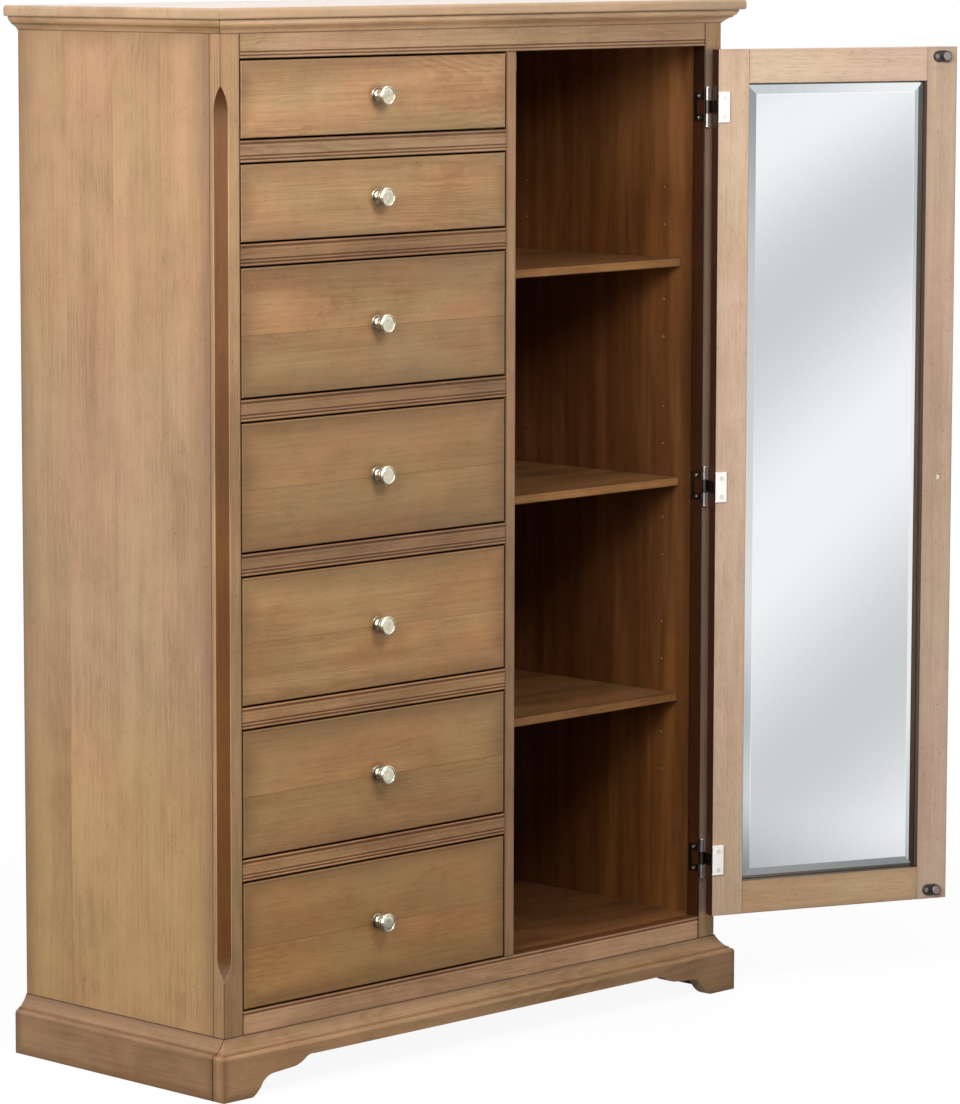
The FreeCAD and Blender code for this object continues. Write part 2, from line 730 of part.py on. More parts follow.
def make_rails():
    """Frieze rail, bottom rail and the rails between the drawers."""
    piece = Piece("top_rail")
    piece.pad(rail_rows(opening_top, under_top, False, True), "YZ_Plane", bay_left, cupboard_right)
    keep("top_rail", [piece])
    piece = Piece("bottom_rail")
    rows = rail_rows(s.case_foot, s.opening_bottom, True, False)
    keep("bottom_rail", [piece.pad(rows, "YZ_Plane", bay_left, cupboard_right)])
    pieces = []
    for piece, (low, height) in zip(members("drawer_rails"), openings[1:]):
        rows = rail_rows(low - s.rail_height, low, True, True)
        pieces.append(piece.pad(rows, "YZ_Plane", bay_left, bay_right))
    keep("drawer_rails", pieces)


# Drawer slides
def make_slides():
    """Runners under the drawer sides, guides beside them and stops behind them."""
    runners = []
    guides = []
    fresh_runner = members("drawer_runners")
    fresh_guide = members("drawer_guides")
    for low, height in openings:
        top = low + s.guide_height
        for start, end in ((-wall, box_left + s.box_wall), (box_right - s.box_wall, partition_left)):
            if low is not s.opening_bottom:
                corner = (start, behind_posts, low - s.runner_height)
                runners.append(next(fresh_runner).block(corner, (end, before_back, low)))
        beside = ((-wall, box_left - s.guide_gap), (box_right + s.guide_gap, partition_left))
        for start, end in beside:
            guides.append(next(fresh_guide).block((start, behind_posts, low), (end, before_back, top)))
        behind = ((box_left, box_left + s.box_wall), (box_right - s.box_wall, box_right))
        for start, end in behind:
            corner = (start, box_end + s.guide_gap, low)
            guides.append(next(fresh_guide).block(corner, (end, before_back, top)))
    keep("drawer_runners", runners)
    keep("drawer_guides", guides)


# Drawers
def make_knob(label, front_face, head_seat, middle, height, **where):
    """A turned knob and the screw that holds it from behind."""
    knob, screw = Piece(f"{label}_1"), Piece(f"{label}_2")
    thread = s.knob_screw_radius + s.thread_play
    rows = profile(KNOB_SHARES, s.knob_radius, NONE, s.knob_length, lambda out, up: (-up, out))
    tail = -s.knob_screw_reach - s.screw_play
    knob.turned(rows + [(tail, NONE), (tail, thread), (NONE, thread)])
    seat = head_seat - front_face
    radius = s.knob_screw_radius
    shank = [(-s.knob_screw_reach, NONE), (-s.knob_screw_reach, radius), (seat, radius)]
    size = (s.knob_screw_head_radius, seat, s.knob_screw_head_height)
    screw.turned(shank + profile(HEAD_SHARES, *size, lambda out, up: (up, out)))
    for piece in (knob, screw):
        put(piece.body, (middle, front_face, height))
    keep(label, [knob, screw], **where)


def make_front(label, height, place):
    """Drawer front with softened edges, a groove for the bottom and a hole for the knob's screw."""
    piece = Piece(label)
    low = (bay_left + s.front_gap, front, s.front_gap)
    piece.block(low, (bay_right - s.front_gap, behind_front, s.front_gap + height))
    piece.soften(s.front_round, lambda edge: on(edge, "Y", front))
    inside = s.box_wall - s.housing_depth
    low = (box_left + inside, behind_front - s.housing_depth, box_floor)
    high = (box_right - inside, behind_front + s.overrun, box_floor + s.box_floor_thickness + s.panel_play)
    piece.cut_block(low, high)
    start = (bay_middle, front - s.overrun, s.front_gap + height / 2)
    length = s.front_thickness + s.overrun * 2
    piece.cut_rod(start, length, s.knob_screw_radius + s.screw_play, ALONG_Y)
    keep(label, [piece], place=place)


def make_box(label, height, place):
    """Two grooved sides, a bottom in their grooves and a back that stands on it."""
    top = s.front_gap + height - s.box_drop
    inside = s.box_wall - s.housing_depth
    floor_top = box_floor + s.box_floor_thickness
    pieces = []
    fresh = members(label)
    right = box_right - s.box_wall
    for start, cut in ((box_left, box_left + inside), (right, right - s.overrun)):
        piece = next(fresh).block((start, behind_front, s.run_gap), (start + s.box_wall, box_end, top))
        low = (cut, behind_front - s.overrun, box_floor)
        high = (cut + s.housing_depth + s.overrun, box_end + s.overrun, floor_top + s.panel_play)
        pieces.append(piece.cut_block(low, high))
    edge = inside + s.panel_play
    low = (box_left + edge, behind_front - s.housing_depth + s.panel_play, box_floor)
    pieces.append(next(fresh).block(low, (box_right - edge, box_end, floor_top)))
    low = (box_left + s.box_wall, box_end - s.box_wall, floor_top)
    pieces.append(next(fresh).block(low, (box_right - s.box_wall, box_end, top)))
    keep(label, pieces, place=place)


def make_drawers():
    """Seven drawers, the first one at the top."""
    for number, (low, height) in enumerate(reversed(openings), start=1):
        place = (NONE, NONE, low)
        make_front(f"drawer_{number}_front", height, place)
        make_box(f"drawer_{number}_box", height, place)
        middle = s.front_gap + height / 2
        make_knob(f"knob_{number}", front, behind_front, bay_middle, middle, place=place)


# Cupboard
def make_shelves():
    """Three shelves on angled supports whose pegs sit in the walls."""
    supports = []
    fresh = members("shelf_supports")
    for name, top in shelf_tops.items():
        under = top - s.shelf_thickness
        edge = front + s.shelf_setback
        piece = Piece(f"shelf_{name}")
        left, right = cupboard_left + s.shelf_end_gap, wall - s.shelf_end_gap
        piece.block((left, edge, under), (right, before_back, top))
        piece.soften(s.shelf_round, lambda side: on(side, "Y", edge) and not upright(side))
        keep(f"shelf_{name}", [piece])
        for face, sign in ((cupboard_left, 1), (wall, -1)):
            for line in peg_lines:
                supports.append(make_support(next(fresh), face, sign, line, under))
    keep("shelf_supports", supports)


def make_support(piece, face, sign, line, under):
    """An angle of metal: one leg against the wall, one under the shelf, and a peg in the wall."""
    near, far = line - s.support_width / 2, line + s.support_width / 2
    peg = under + s.peg_hole_lift
    foot = under - s.support_thickness

    def span(reach):
        return (face, face + reach) if sign > 0 else (face - reach, face)

    thin, wide = span(s.support_thickness), span(s.support_reach)
    piece.block((thin[0], near, foot), (thin[1], far, peg + s.support_rise))
    piece.block((wide[0], near, foot), (wide[1], far, under))
    start = face - s.peg_length if sign > 0 else face - s.support_thickness
    return piece.rod((start, line, peg), s.peg_length + s.support_thickness, s.peg_radius, ALONG_X)


# Door
def make_door_frame():
    """Stiles and rails, grooved for the outer panel."""
    groove_low = front + s.panel_set_back
    groove_high = groove_low + s.panel_thickness
    inner_left = door_left + s.door_frame_width
    inner_right = door_right - s.door_frame_width
    for name, start, end, sight in (
        ("door_free_stile", door_left, inner_left, inner_left),
        ("door_hinge_stile", inner_right, door_right, inner_right),
    ):
        piece = Piece(name)
        outer = start if sight is end else end
        piece.block((start, front, door_low), (end, door_inner, door_high))
        piece.soften(s.door_round, lambda edge: upright(edge) and on(edge, "X", outer))
        piece.soften(s.door_inner_round, lambda edge: upright(edge) and on(edge, "X", sight))
        cut = sight - s.panel_housing if sight is end else sight - s.overrun
        low = (cut, groove_low, door_low - s.overrun)
        piece.cut_block(low, (cut + s.panel_housing + s.overrun, groove_high, door_high + s.overrun))
        drill_stile(piece, name)
        keep(name, [piece], door=True)
    ends = (
        ("door_bottom_rail", door_low, door_low + s.door_frame_width),
        ("door_top_rail", door_high - s.door_frame_width, door_high),
    )
    for name, start, end in ends:
        piece = Piece(name)
        sight, outer = (end, start) if start is door_low else (start, end)
        piece.block((inner_left, front, start), (inner_right, door_inner, end))
        piece.soften(s.door_round, lambda edge: on(edge, "Z", outer) and on_door_face(edge))
        piece.soften(s.door_inner_round, lambda edge: on(edge, "Z", sight) and on_door_face(edge))
        cut = sight - s.panel_housing if sight is end else sight - s.overrun
        low = (inner_left - s.overrun, groove_low, cut)
        piece.cut_block(low, (inner_right + s.overrun, groove_high, cut + s.panel_housing + s.overrun))
        keep(name, [piece], door=True)


def drill_stile(piece, name):
    """Holes for the knob's screw in the free stile, and for the leaves' screws in the other."""
    hole = s.small_screw_radius + s.thread_play
    if name == "door_hinge_stile":
        for x, z in cover_screw_places():
            start = (x, door_inner - s.small_screw_length, z)
            piece.cut_rod(start, s.small_screw_length + s.overrun, hole, ALONG_Y)
        return
    x = door_left + s.door_knob_inset
    z = (door_low + door_high) / 2
    length = s.door_thickness + s.overrun * 2
    piece.cut_rod((x, front - s.overrun, z), length, s.knob_screw_radius + s.screw_play, ALONG_Y)
    sink = (x, door_inner - s.door_screw_sink, z)
    radius = s.knob_screw_head_radius + s.screw_play
    piece.cut_rod(sink, s.door_screw_sink + s.overrun, radius, ALONG_Y)
    for height in catch_heights:
        start = (magnet_x + s.catch_screw_line, door_inner - s.small_screw_length, height)
        piece.cut_rod(start, s.small_screw_length + s.overrun, hole, ALONG_Y)


def make_door_panels():
    """Outer panel in the frame's groove, and the bevelled mirror in front of it."""
    groove_low = front + s.panel_set_back
    inset = s.door_frame_width - s.panel_housing + s.panel_play
    low = (door_left + inset, groove_low, door_low + inset)
    high = (door_right - inset, groove_low + s.panel_thickness, door_high - inset)
    keep("door_panel", [Piece("door_panel").block(low, high)], door=True)
    keep("door_mirror", [make_mirror()], door=True)


def make_mirror():
    """A plate whose face slopes back along its four edges."""
    piece = Piece("door_mirror")
    inset = s.door_frame_width + s.mirror_gap
    back = front + s.panel_set_back + s.panel_thickness
    face = back + s.mirror_thickness
    left, right = door_left + inset, door_right - inset
    low, high = door_low + inset, door_high - inset
    piece.block((left, back, low), (right, face, high))
    slope = s.mirror_thickness - s.mirror_edge
    for edge, sign in ((left, 1), (right, -1)):
        rows = [(edge, face - slope), (edge + s.mirror_bevel * sign, face)]
        beyond = (edge - s.overrun * sign, face)
        piece.cut_through(rows + [beyond, (beyond[0], face - slope)], "XY_Plane")
    for edge, sign in ((low, 1), (high, -1)):
        rows = [(face - slope, edge), (face, edge + s.mirror_bevel * sign)]
        beyond = (face, edge - s.overrun * sign)
        piece.cut_through(rows + [beyond, (face - slope, beyond[1])], "YZ_Plane")
    return piece


# Hinges
def arm_screw_places():
    """Where the case leaves' screws enter the post."""
    for height in hinge_heights:
        for side in (-s.arm_spacing / 2, s.arm_spacing / 2):
            yield (cupboard_right, front + s.arm_screw_back, height + side)


def cover_screw_places():
    """Across and up: the screws of the cover plates."""
    for height in hinge_heights:
        for side in (-s.cover_screw_spacing / 2, s.cover_screw_spacing / 2):
            yield (door_right - s.cover_width / 2, height + side)


def make_small_screw(piece, place, turn, sign):
    """A small screw: its shank into the wood, its flat head outside."""
    x, y, z = place
    across = turn is ALONG_X
    shank = s.small_screw_length - s.thread_play
    start = {1: NONE, -1: -shank}[sign]
    head = {1: -s.small_screw_head_height, -1: NONE}[sign]
    if across:
        places = ((x + start, y, z), (x + head, y, z))
    else:
        places = ((x, y + start, z), (x, y + head, z))
    piece.rod(places[0], shank, s.small_screw_radius, turn)
    return piece.rod(places[1], s.small_screw_head_height, s.small_screw_head_radius, turn)


def bore(piece, low, length):
    """The pin's running bore along the hinge line."""
    radius = s.hinge_pin_radius + s.hinge_running_gap
    piece.cut_rod((hinge_x, hinge_y, low - s.overrun), length + s.overrun * 2, radius, ALONG_Z)


def make_case_leaf(piece, height):
    """Two knuckles on arms that a spine joins, flat on the post's inner side."""
    face = cupboard_right - s.leaf_thickness
    end = front + s.arm_length
    reach = (s.arm_spacing + s.arm_height) / 2
    start = end - s.spine_width
    piece.block((face, start, height - reach), (cupboard_right, end, height + reach))
    knuckle = (s.hinge_length - s.door_knuckle_length) / 2 - s.knuckle_gap
    places = (
        (height - reach, height - s.hinge_length / 2),
        (height + reach - s.arm_height, height + s.door_knuckle_length / 2 + s.knuckle_gap),
    )
    for arm, ring in places:
        piece.block((face, hinge_y, arm), (cupboard_right, end, arm + s.arm_height))
        piece.rod((hinge_x, hinge_y, ring), knuckle, s.knuckle_radius, ALONG_Z)
    bore(piece, height - s.hinge_length / 2, s.hinge_length)
    hole = s.small_screw_radius + s.screw_play
    for side in (-s.arm_spacing / 2, s.arm_spacing / 2):
        place = (face - s.overrun, front + s.arm_screw_back, height + side)
        piece.cut_rod(place, s.overrun * 2, hole, ALONG_X)
    return piece


def make_door_leaf(piece, height):
    """The middle knuckle on a leaf that runs along the door's edge and round onto its inner face."""
    reach = s.door_leaf_height / 2
    outer = door_right + s.leaf_thickness
    wide = s.cover_height / 2 - s.cover_rim
    low = height - wide
    start = door_right - s.cover_width + s.cover_rim
    edge_high = (outer, door_inner + s.leaf_thickness, height + reach)
    piece.block((door_right, hinge_y, height - reach), edge_high)
    piece.block((start, door_inner, low), (door_right, door_inner + s.leaf_thickness, height + wide))
    ring = height - s.door_knuckle_length / 2
    piece.rod((hinge_x, hinge_y, ring), s.door_knuckle_length, s.knuckle_radius, ALONG_Z)
    bore(piece, ring, s.door_knuckle_length)
    hole = s.small_screw_radius + s.screw_play
    for side in (-s.cover_screw_spacing / 2, s.cover_screw_spacing / 2):
        place = (door_right - s.cover_width / 2, door_inner - s.overrun, height + side)
        piece.cut_rod(place, s.overrun * 2, hole, ALONG_Y)
    return piece


def make_cover(piece, height):
    """A cover plate, hollow where the leaf lies under it."""
    start = door_right - s.cover_width
    low, high = height - s.cover_height / 2, height + s.cover_height / 2
    face = door_inner + s.cover_thickness
    piece.block((start, door_inner, low), (door_right, face, high))
    piece.soften(s.cover_round, lambda edge: on(edge, "Y", face))
    corner = (start + s.cover_rim - s.panel_play, door_inner - s.overrun, low + s.cover_rim - s.panel_play)
    far = (door_right + s.overrun, door_inner + s.leaf_thickness, high - s.cover_rim + s.panel_play)
    piece.cut_block(corner, far)
    hole = s.small_screw_radius + s.screw_play
    for side in (-s.cover_screw_spacing / 2, s.cover_screw_spacing / 2):
        place = (start + s.cover_width / 2, door_inner - s.overrun, height + side)
        piece.cut_rod(place, s.overrun * 2, hole, ALONG_Y)
    return piece


def make_pin(piece, height):
    """A pin with a rounded cap at each end."""
    low = height - s.hinge_length / 2
    piece.rod((hinge_x, hinge_y, low), s.hinge_length, s.hinge_pin_radius, ALONG_Z)
    for start in (low - s.pin_cap_height, low + s.hinge_length):
        piece.rod((hinge_x, hinge_y, start), s.pin_cap_height, s.pin_cap_radius, ALONG_Z)
    return piece


def make_hinges():
    """Three butt hinges, their pins, covers and screws."""
    leaves = zip(members("hinge_case_leaves"), hinge_heights)
    keep("hinge_case_leaves", [make_case_leaf(piece, height) for piece, height in leaves])
    pins = zip(members("hinge_pins"), hinge_heights)
    keep("hinge_pins", [make_pin(piece, height) for piece, height in pins])
    screws = []
    for piece, (x, y, z) in zip(members("hinge_case_screws"), arm_screw_places()):
        screws.append(make_small_screw(piece, (x - s.leaf_thickness, y, z), ALONG_X, 1))
    keep("hinge_case_screws", screws)
    fresh = members("hinge_door_leaves")
    leaves = [make_door_leaf(next(fresh), height) for height in hinge_heights]
    for piece, (x, z) in zip(fresh, cover_screw_places()):
        leaves.append(make_small_screw(piece, (x, door_inner + s.cover_thickness, z), ALONG_Y, -1))
    keep("hinge_door_leaves", leaves, door=True)
    covers = zip(members("hinge_covers"), hinge_heights)
    keep("hinge_covers", [make_cover(piece, height) for piece, height in covers], door=True)


# Catches
def make_catch(piece, height):
    """A plate with a round housing, hollow where the magnet sits."""
    tail = magnet_x + s.catch_tail
    low = (magnet_x, door_inner, height - s.catch_radius)
    piece.block(low, (tail, door_inner + s.catch_base, height + s.catch_radius))
    for x in (magnet_x, tail):
        piece.rod((x, door_inner, height), s.catch_base, s.catch_radius, ALONG_Y)
    piece.rod((magnet_x, door_inner, height), s.boss_height, s.boss_radius, ALONG_Y)
    seat = door_inner + s.boss_height + s.magnet_proud - s.magnet_thickness
    hollow = s.magnet_radius + s.thread_play
    piece.cut_rod((magnet_x, seat, height), s.magnet_thickness + s.overrun, hollow, ALONG_Y)
    start = (magnet_x + s.catch_screw_line, door_inner - s.overrun, height)
    return piece.cut_rod(start, s.overrun * 3, s.small_screw_radius + s.screw_play, ALONG_Y)


def make_catches():
    """Magnetic catches on the door and the steel plates that they meet."""
    fresh = members("door_catches")
    pieces = []
    for height in catch_heights:
        pieces.append(make_catch(next(fresh), height))
        seat = door_inner + s.boss_height + s.magnet_proud - s.magnet_thickness
        magnet = next(fresh)
        pieces.append(magnet.rod((magnet_x, seat, height), s.magnet_thickness, s.magnet_radius, ALONG_Y))
        place = (magnet_x + s.catch_screw_line, door_inner + s.catch_base, height)
        pieces.append(make_small_screw(next(fresh), place, ALONG_Y, -1))
    keep("door_catches", pieces, door=True)
    plates = []
    for piece, height in zip(members("catch_strikes"), catch_heights):
        low, high = height - s.strike_half_height, height + s.strike_half_height
        far = (cupboard_left + s.strike_thickness, strike_y + s.strike_foot, high)
        piece.block((cupboard_left, strike_y, low), far)
        far = (magnet_x + s.strike_past_magnet, strike_y + s.strike_thickness, high)
        plates.append(piece.block((cupboard_left, strike_y, low), far))
    keep("catch_strikes", plates)


def make_door():
    """Everything that swings."""
    make_door_frame()
    make_door_panels()
    seat = door_inner - s.door_screw_sink
    middle = door_left + s.door_knob_inset
    make_knob("door_knob", front, seat, middle, (door_low + door_high) / 2, door=True)


def check():
    """Stop on a failed object, an empty or invalid shape, or a cut that takes nothing away."""
    for item in doc.Objects:
        if "Invalid" in item.State or "Error" in item.State:
            raise RuntimeError(f"{item.Name} failed: {item.State}")
        if item.TypeId in CUTS:
            if item.Shape.Volume >= item.BaseFeature.Shape.Volume:
                raise RuntimeError(f"{item.Name} cuts nothing")
    for label, thing in nodes.items():
        if thing.Shape.isNull() or not thing.Shape.isValid():
            raise RuntimeError(f"{label} has no valid shape")


def main():
    """Make every sub-part, check the model and write one file for each node."""
    make_sides()
    make_posts()
    make_carcase()
    make_top()
    make_crown()
    make_base()
    make_rails()
    make_slides()
    make_drawers()
    make_shelves()
    make_door()
    make_hinges()
    make_catches()
    doc.recompute()
    check()
    os.makedirs("parts", exist_ok=True)
    for label, thing in nodes.items():
        thing.Shape.exportStep(f"parts/{label}.step")
        print(label, len(thing.Shape.Solids), round(thing.Shape.Volume))


main()
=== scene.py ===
"""Looks of a gentleman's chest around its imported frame: stained wood, satin nickel, a bevelled mirror.

Everything is in metres in the frame's own axes: X to the right, Y to the back, Z up. The pieces of the
door are worked out as if it were closed and then turned to where it stands, as the frame holds them.
"""

import json
import logging
import math
from dataclasses import dataclass, replace
from enum import Enum
from typing import Sequence, Union

import bmesh
import bpy
import numpy as np
from mathutils import Matrix, Vector


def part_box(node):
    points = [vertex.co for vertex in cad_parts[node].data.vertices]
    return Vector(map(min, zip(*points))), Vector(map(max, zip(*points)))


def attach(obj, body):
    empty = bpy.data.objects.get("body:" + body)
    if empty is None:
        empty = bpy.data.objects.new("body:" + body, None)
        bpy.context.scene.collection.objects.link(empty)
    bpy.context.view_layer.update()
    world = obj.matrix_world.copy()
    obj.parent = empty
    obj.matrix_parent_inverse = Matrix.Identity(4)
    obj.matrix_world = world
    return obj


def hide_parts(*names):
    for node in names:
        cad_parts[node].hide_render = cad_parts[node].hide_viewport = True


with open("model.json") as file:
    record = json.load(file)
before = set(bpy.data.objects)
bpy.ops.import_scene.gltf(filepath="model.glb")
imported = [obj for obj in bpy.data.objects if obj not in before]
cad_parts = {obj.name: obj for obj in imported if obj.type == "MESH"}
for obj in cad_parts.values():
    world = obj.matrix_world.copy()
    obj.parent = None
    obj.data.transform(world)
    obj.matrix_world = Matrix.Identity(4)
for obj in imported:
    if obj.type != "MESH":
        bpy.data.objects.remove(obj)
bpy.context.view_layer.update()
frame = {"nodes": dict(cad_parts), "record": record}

logging.basicConfig(level=logging.INFO, format="%(message)s")
log = logging.getLogger("chest")

MM = 0.001
WHITE = (1.0, 1.0, 1.0)
# A narrow mask is full within this share of its half width.
FULL_SHARE = 0.4
Triple = tuple[float, float, float]
Colour = Triple
Number = Union[float, "Value"]
Shell = tuple[np.ndarray, Sequence]


class Axis(Enum):
    """One of the frame's axes, by its place in a vector."""

    X = 0
    Y = 1
    Z = 2


# Shader maths


class Value:
    """A number, colour or vector that flows between shader nodes; operators add Math nodes."""

    def __init__(self, shader: "Shader", socket: bpy.types.NodeSocket) -> None:
        """Keep the output socket and the shader it belongs to."""
        self.shader = shader
        self.socket = socket

    def _math(self, operation: str, *operands: Number) -> "Value":
        """Add a Math node on numbers."""
        return self.shader.node("ShaderNodeMath", {"operation": operation}, list(operands))

    def __add__(self, other: Number) -> "Value":
        """Sum."""
        return self._math("ADD", self, other)

    def __sub__(self, other: Number) -> "Value":
        """Difference."""
        return self._math("SUBTRACT", self, other)

    def __rsub__(self, other: Number) -> "Value":
        """Reflected difference."""
        return self._math("SUBTRACT", other, self)

    def __mul__(self, other: Number) -> "Value":
        """Product."""
        return self._math("MULTIPLY", self, other)

    def __truediv__(self, other: Number) -> "Value":
        """Quotient."""
        return self._math("DIVIDE", self, other)

    def __pow__(self, other: Number) -> "Value":
        """Power."""
        return self._math("POWER", self, other)

    def __abs__(self) -> "Value":
        """Size without sign."""
        return self._math("ABSOLUTE", self)

    def least(self, other: Number) -> "Value":
        """The lesser of two numbers."""
        return self._math("MINIMUM", self, other)

    def most(self, other: Number) -> "Value":
        """The greater of two numbers."""
        return self._math("MAXIMUM", self, other)

    def floor(self) -> "Value":
        """The whole number below."""
        return self._math("FLOOR", self)

    def sine(self) -> "Value":
        """The sine of an angle in radians."""
        return self._math("SINE", self)

    def log(self) -> "Value":
        """The natural logarithm."""
        return self._math("LOGARITHM", self, math.e)

    def ramp(self, start: float, end: float, low: float = 0.0, high: float = 1.0) -> "Value":
        """Rise smoothly from low to high as this number goes from start to end.

        Args:
            start: the number at which the rise begins.
            end: the number at which it ends; it may be below start.
            low: the result at start.
            high: the result at end.

        Returns:
            The eased number, held outside the span.
        """
        settings = {"interpolation_type": "SMOOTHSTEP"}
        return self.shader.node("ShaderNodeMapRange", settings, [self, start, end, low, high])

    __radd__ = __add__
    __rmul__ = __mul__


class Shader:
    """The node tree of a material or of the world, with a method that adds any node."""

    def __init__(self, owner: Union[bpy.types.Material, bpy.types.World]) -> None:
        """Empty the owner's tree.

        Args:
            owner: the material or the world.
        """
        owner.use_nodes = True
        self.owner = owner
        self.tree = owner.node_tree
        self.tree.nodes.clear()

    def add(self, kind: str, settings: dict, inputs: Union[dict, Sequence]) -> bpy.types.Node:
        """Add a node, set it up and feed its inputs.

        Args:
            kind: the node's type.
            settings: properties of the node, set before its inputs.
            inputs: numbers, tuples or Values by socket name, or in the sockets' order.

        Returns:
            The node.
        """
        made = self.tree.nodes.new(kind)
        for name, setting in settings.items():
            setattr(made, name, setting)
        pairs = inputs.items() if isinstance(inputs, dict) else enumerate(inputs)
        for name, given in pairs:
            if isinstance(given, Value):
                self.tree.links.new(given.socket, made.inputs[name])
            else:
                made.inputs[name].default_value = given
        return made

    def node(self, kind: str, settings: dict, inputs: Union[dict, Sequence], output: int = 0) -> Value:
        """Add a node as `add` does and return one of its outputs."""
        return Value(self, self.add(kind, settings, inputs).outputs[output])

    def mix(
        self,
        factor: Number,
        first: Union[Value, Colour],
        second: Union[Value, Colour],
        blend: str = "MIX",
    ) -> Value:
        """Blend two colours by a number from 0 to 1, or multiply them in part.

        Args:
            factor: the second colour's share.
            first: the first colour.
            second: the second colour.
            blend: the Mix node's way of blending.

        Returns:
            The blended colour.
        """
        ends = [end if isinstance(end, Value) else (*end, 1.0) for end in (first, second)]
        settings = {"data_type": "RGBA", "clamp_factor": True, "blend_type": blend}
        made = self.add("ShaderNodeMix", settings, {0: factor, 6: ends[0], 7: ends[1]})
        return Value(self, made.outputs[2])

    def vector(self, operation: str, first: Value, second: Sequence[float]) -> Value:
        """Vector Math on a vector and a fixed one."""
        return self.node("ShaderNodeVectorMath", {"operation": operation}, [first, tuple(second)])

    def split(self, vector: Value) -> list[Value]:
        """The three numbers of a vector."""
        made = self.add("ShaderNodeSeparateXYZ", {}, [vector])
        return [Value(self, made.outputs[index]) for index in range(3)]

    def noise(self, place: Value, stretch: Sequence[float], detail: float = 2.0, warp: float = 0.0) -> Value:
        """Cloudy noise about 0.5 whose cells have 1/stretch metres along each axis.

        Args:
            place: the vector that the noise is read at.
            stretch: cells in a metre along X, Y and Z.
            detail: finer layers added.
            warp: how far the noise is distorted.

        Returns:
            A number from 0 to 1.
        """
        near = self.vector("MULTIPLY", place, stretch)
        inputs = {"Vector": near, "Scale": 1.0, "Detail": detail, "Distortion": warp}
        return self.node("ShaderNodeTexNoise", {"noise_dimensions": "3D"}, inputs)

    def principled(self, normal: Union[Value, None] = None, **inputs: Union[Value, float, tuple]) -> Value:
        """The surface shader; underscores in names stand for spaces.

        Args:
            normal: the bumped normal, if any.
            **inputs: its sockets.

        Returns:
            The surface.
        """
        feeds = {name.replace("_", " "): given for name, given in inputs.items()}
        if normal is not None:
            feeds["Normal"] = normal
        return self.node("ShaderNodeBsdfPrincipled", {}, feeds)

    def bump(self, height: Value, distance: float, strength: float = 1.0) -> Value:
        """A normal bent by a height from 0 to 1 that stands for a distance in metres."""
        return self.node("ShaderNodeBump", {}, {"Height": height, "Distance": distance, "Strength": strength})

    def finish(self, surface: Value) -> Union[bpy.types.Material, bpy.types.World]:
        """Send the surface to the output.

        Args:
            surface: the surface or background shader.

        Returns:
            The material or the world.
        """
        world = isinstance(self.owner, bpy.types.World)
        self.add("ShaderNodeOutputWorld" if world else "ShaderNodeOutputMaterial", {}, [surface])
        return self.owner


@dataclass(frozen=True)
class Turn:
    """The turn about the door's hinge line from closed to where the door stands."""

    hinge: Vector
    angle: float

    def matrix(self) -> np.ndarray:
        """The 4 by 4 matrix from the closed place to the open one."""
        centre = Matrix.Translation(self.hinge)
        return np.array(centre @ Matrix.Rotation(self.angle, 4, "Z") @ centre.inverted())

    def undo(self, points: np.ndarray) -> np.ndarray:
        """Points of the open door brought back to where they are when it is closed."""
        back = np.linalg.inv(self.matrix())
        return points @ back[:3, :3].T + back[:3, 3]

    def mapping(self, shader: Shader, place: Value) -> Value:
        """The same on a material's coordinates.

        Args:
            shader: the material.
            place: its Object coordinates.

        Returns:
            The coordinates on the closed door.
        """
        back = Matrix(np.linalg.inv(self.matrix()).tolist())
        inputs = {"Vector": place, "Location": back.to_translation(), "Rotation": back.to_euler()}
        return shader.node("ShaderNodeMapping", {"vector_type": "POINT"}, inputs)


def door_turn() -> Turn:
    """The door's turn, from the frame's own joint."""
    joint = next(item for item in frame["record"]["behaviour"]["joints"] if item["name"] == "door_hinge")
    return Turn(Vector(joint["pos_m"]), math.radians(-joint["range_deg"][0]))


DOOR = door_turn()


@dataclass(frozen=True)
class Span:
    """A mask that rises from 0 to 1 between two places along one axis."""

    axis: Axis
    start: float
    end: float

    def mask(self, parts: list[Value]) -> Value:
        """The mask on split coordinates."""
        return parts[self.axis.value].ramp(self.start, self.end)


@dataclass(frozen=True)
class Line:
    """A mask that is 1 in a narrow band about one place along one axis."""

    axis: Axis
    place: float
    half: float = 0.9 * MM

    def mask(self, parts: list[Value]) -> Value:
        """The mask on split coordinates."""
        return abs(parts[self.axis.value] - self.place).ramp(self.half, FULL_SHARE * self.half)


@dataclass(frozen=True)
class Mitre:
    """A mask that is 1 on the upright plane where two mouldings meet at a front corner."""

    side: int
    offset: float
    half: float = 0.9 * MM

    def mask(self, parts: list[Value]) -> Value:
        """The plane is where x times the side's sign, plus y, is the offset."""
        away = abs(parts[0] * self.side + parts[1] - self.offset)
        return away.ramp(self.half, FULL_SHARE * self.half)


@dataclass(frozen=True)
class Halo:
    """A mask that fades out round a point of an upright face."""

    x: float
    z: float
    inner: float
    outer: float

    def mask(self, parts: list[Value]) -> Value:
        """The distance from the point is the root of the two squares' sum.

        Args:
            parts: split coordinates.

        Returns:
            The mask.
        """
        aside = parts[0] - self.x
        above = parts[2] - self.z
        return ((aside * aside + above * above) ** 0.5).ramp(self.outer, self.inner)


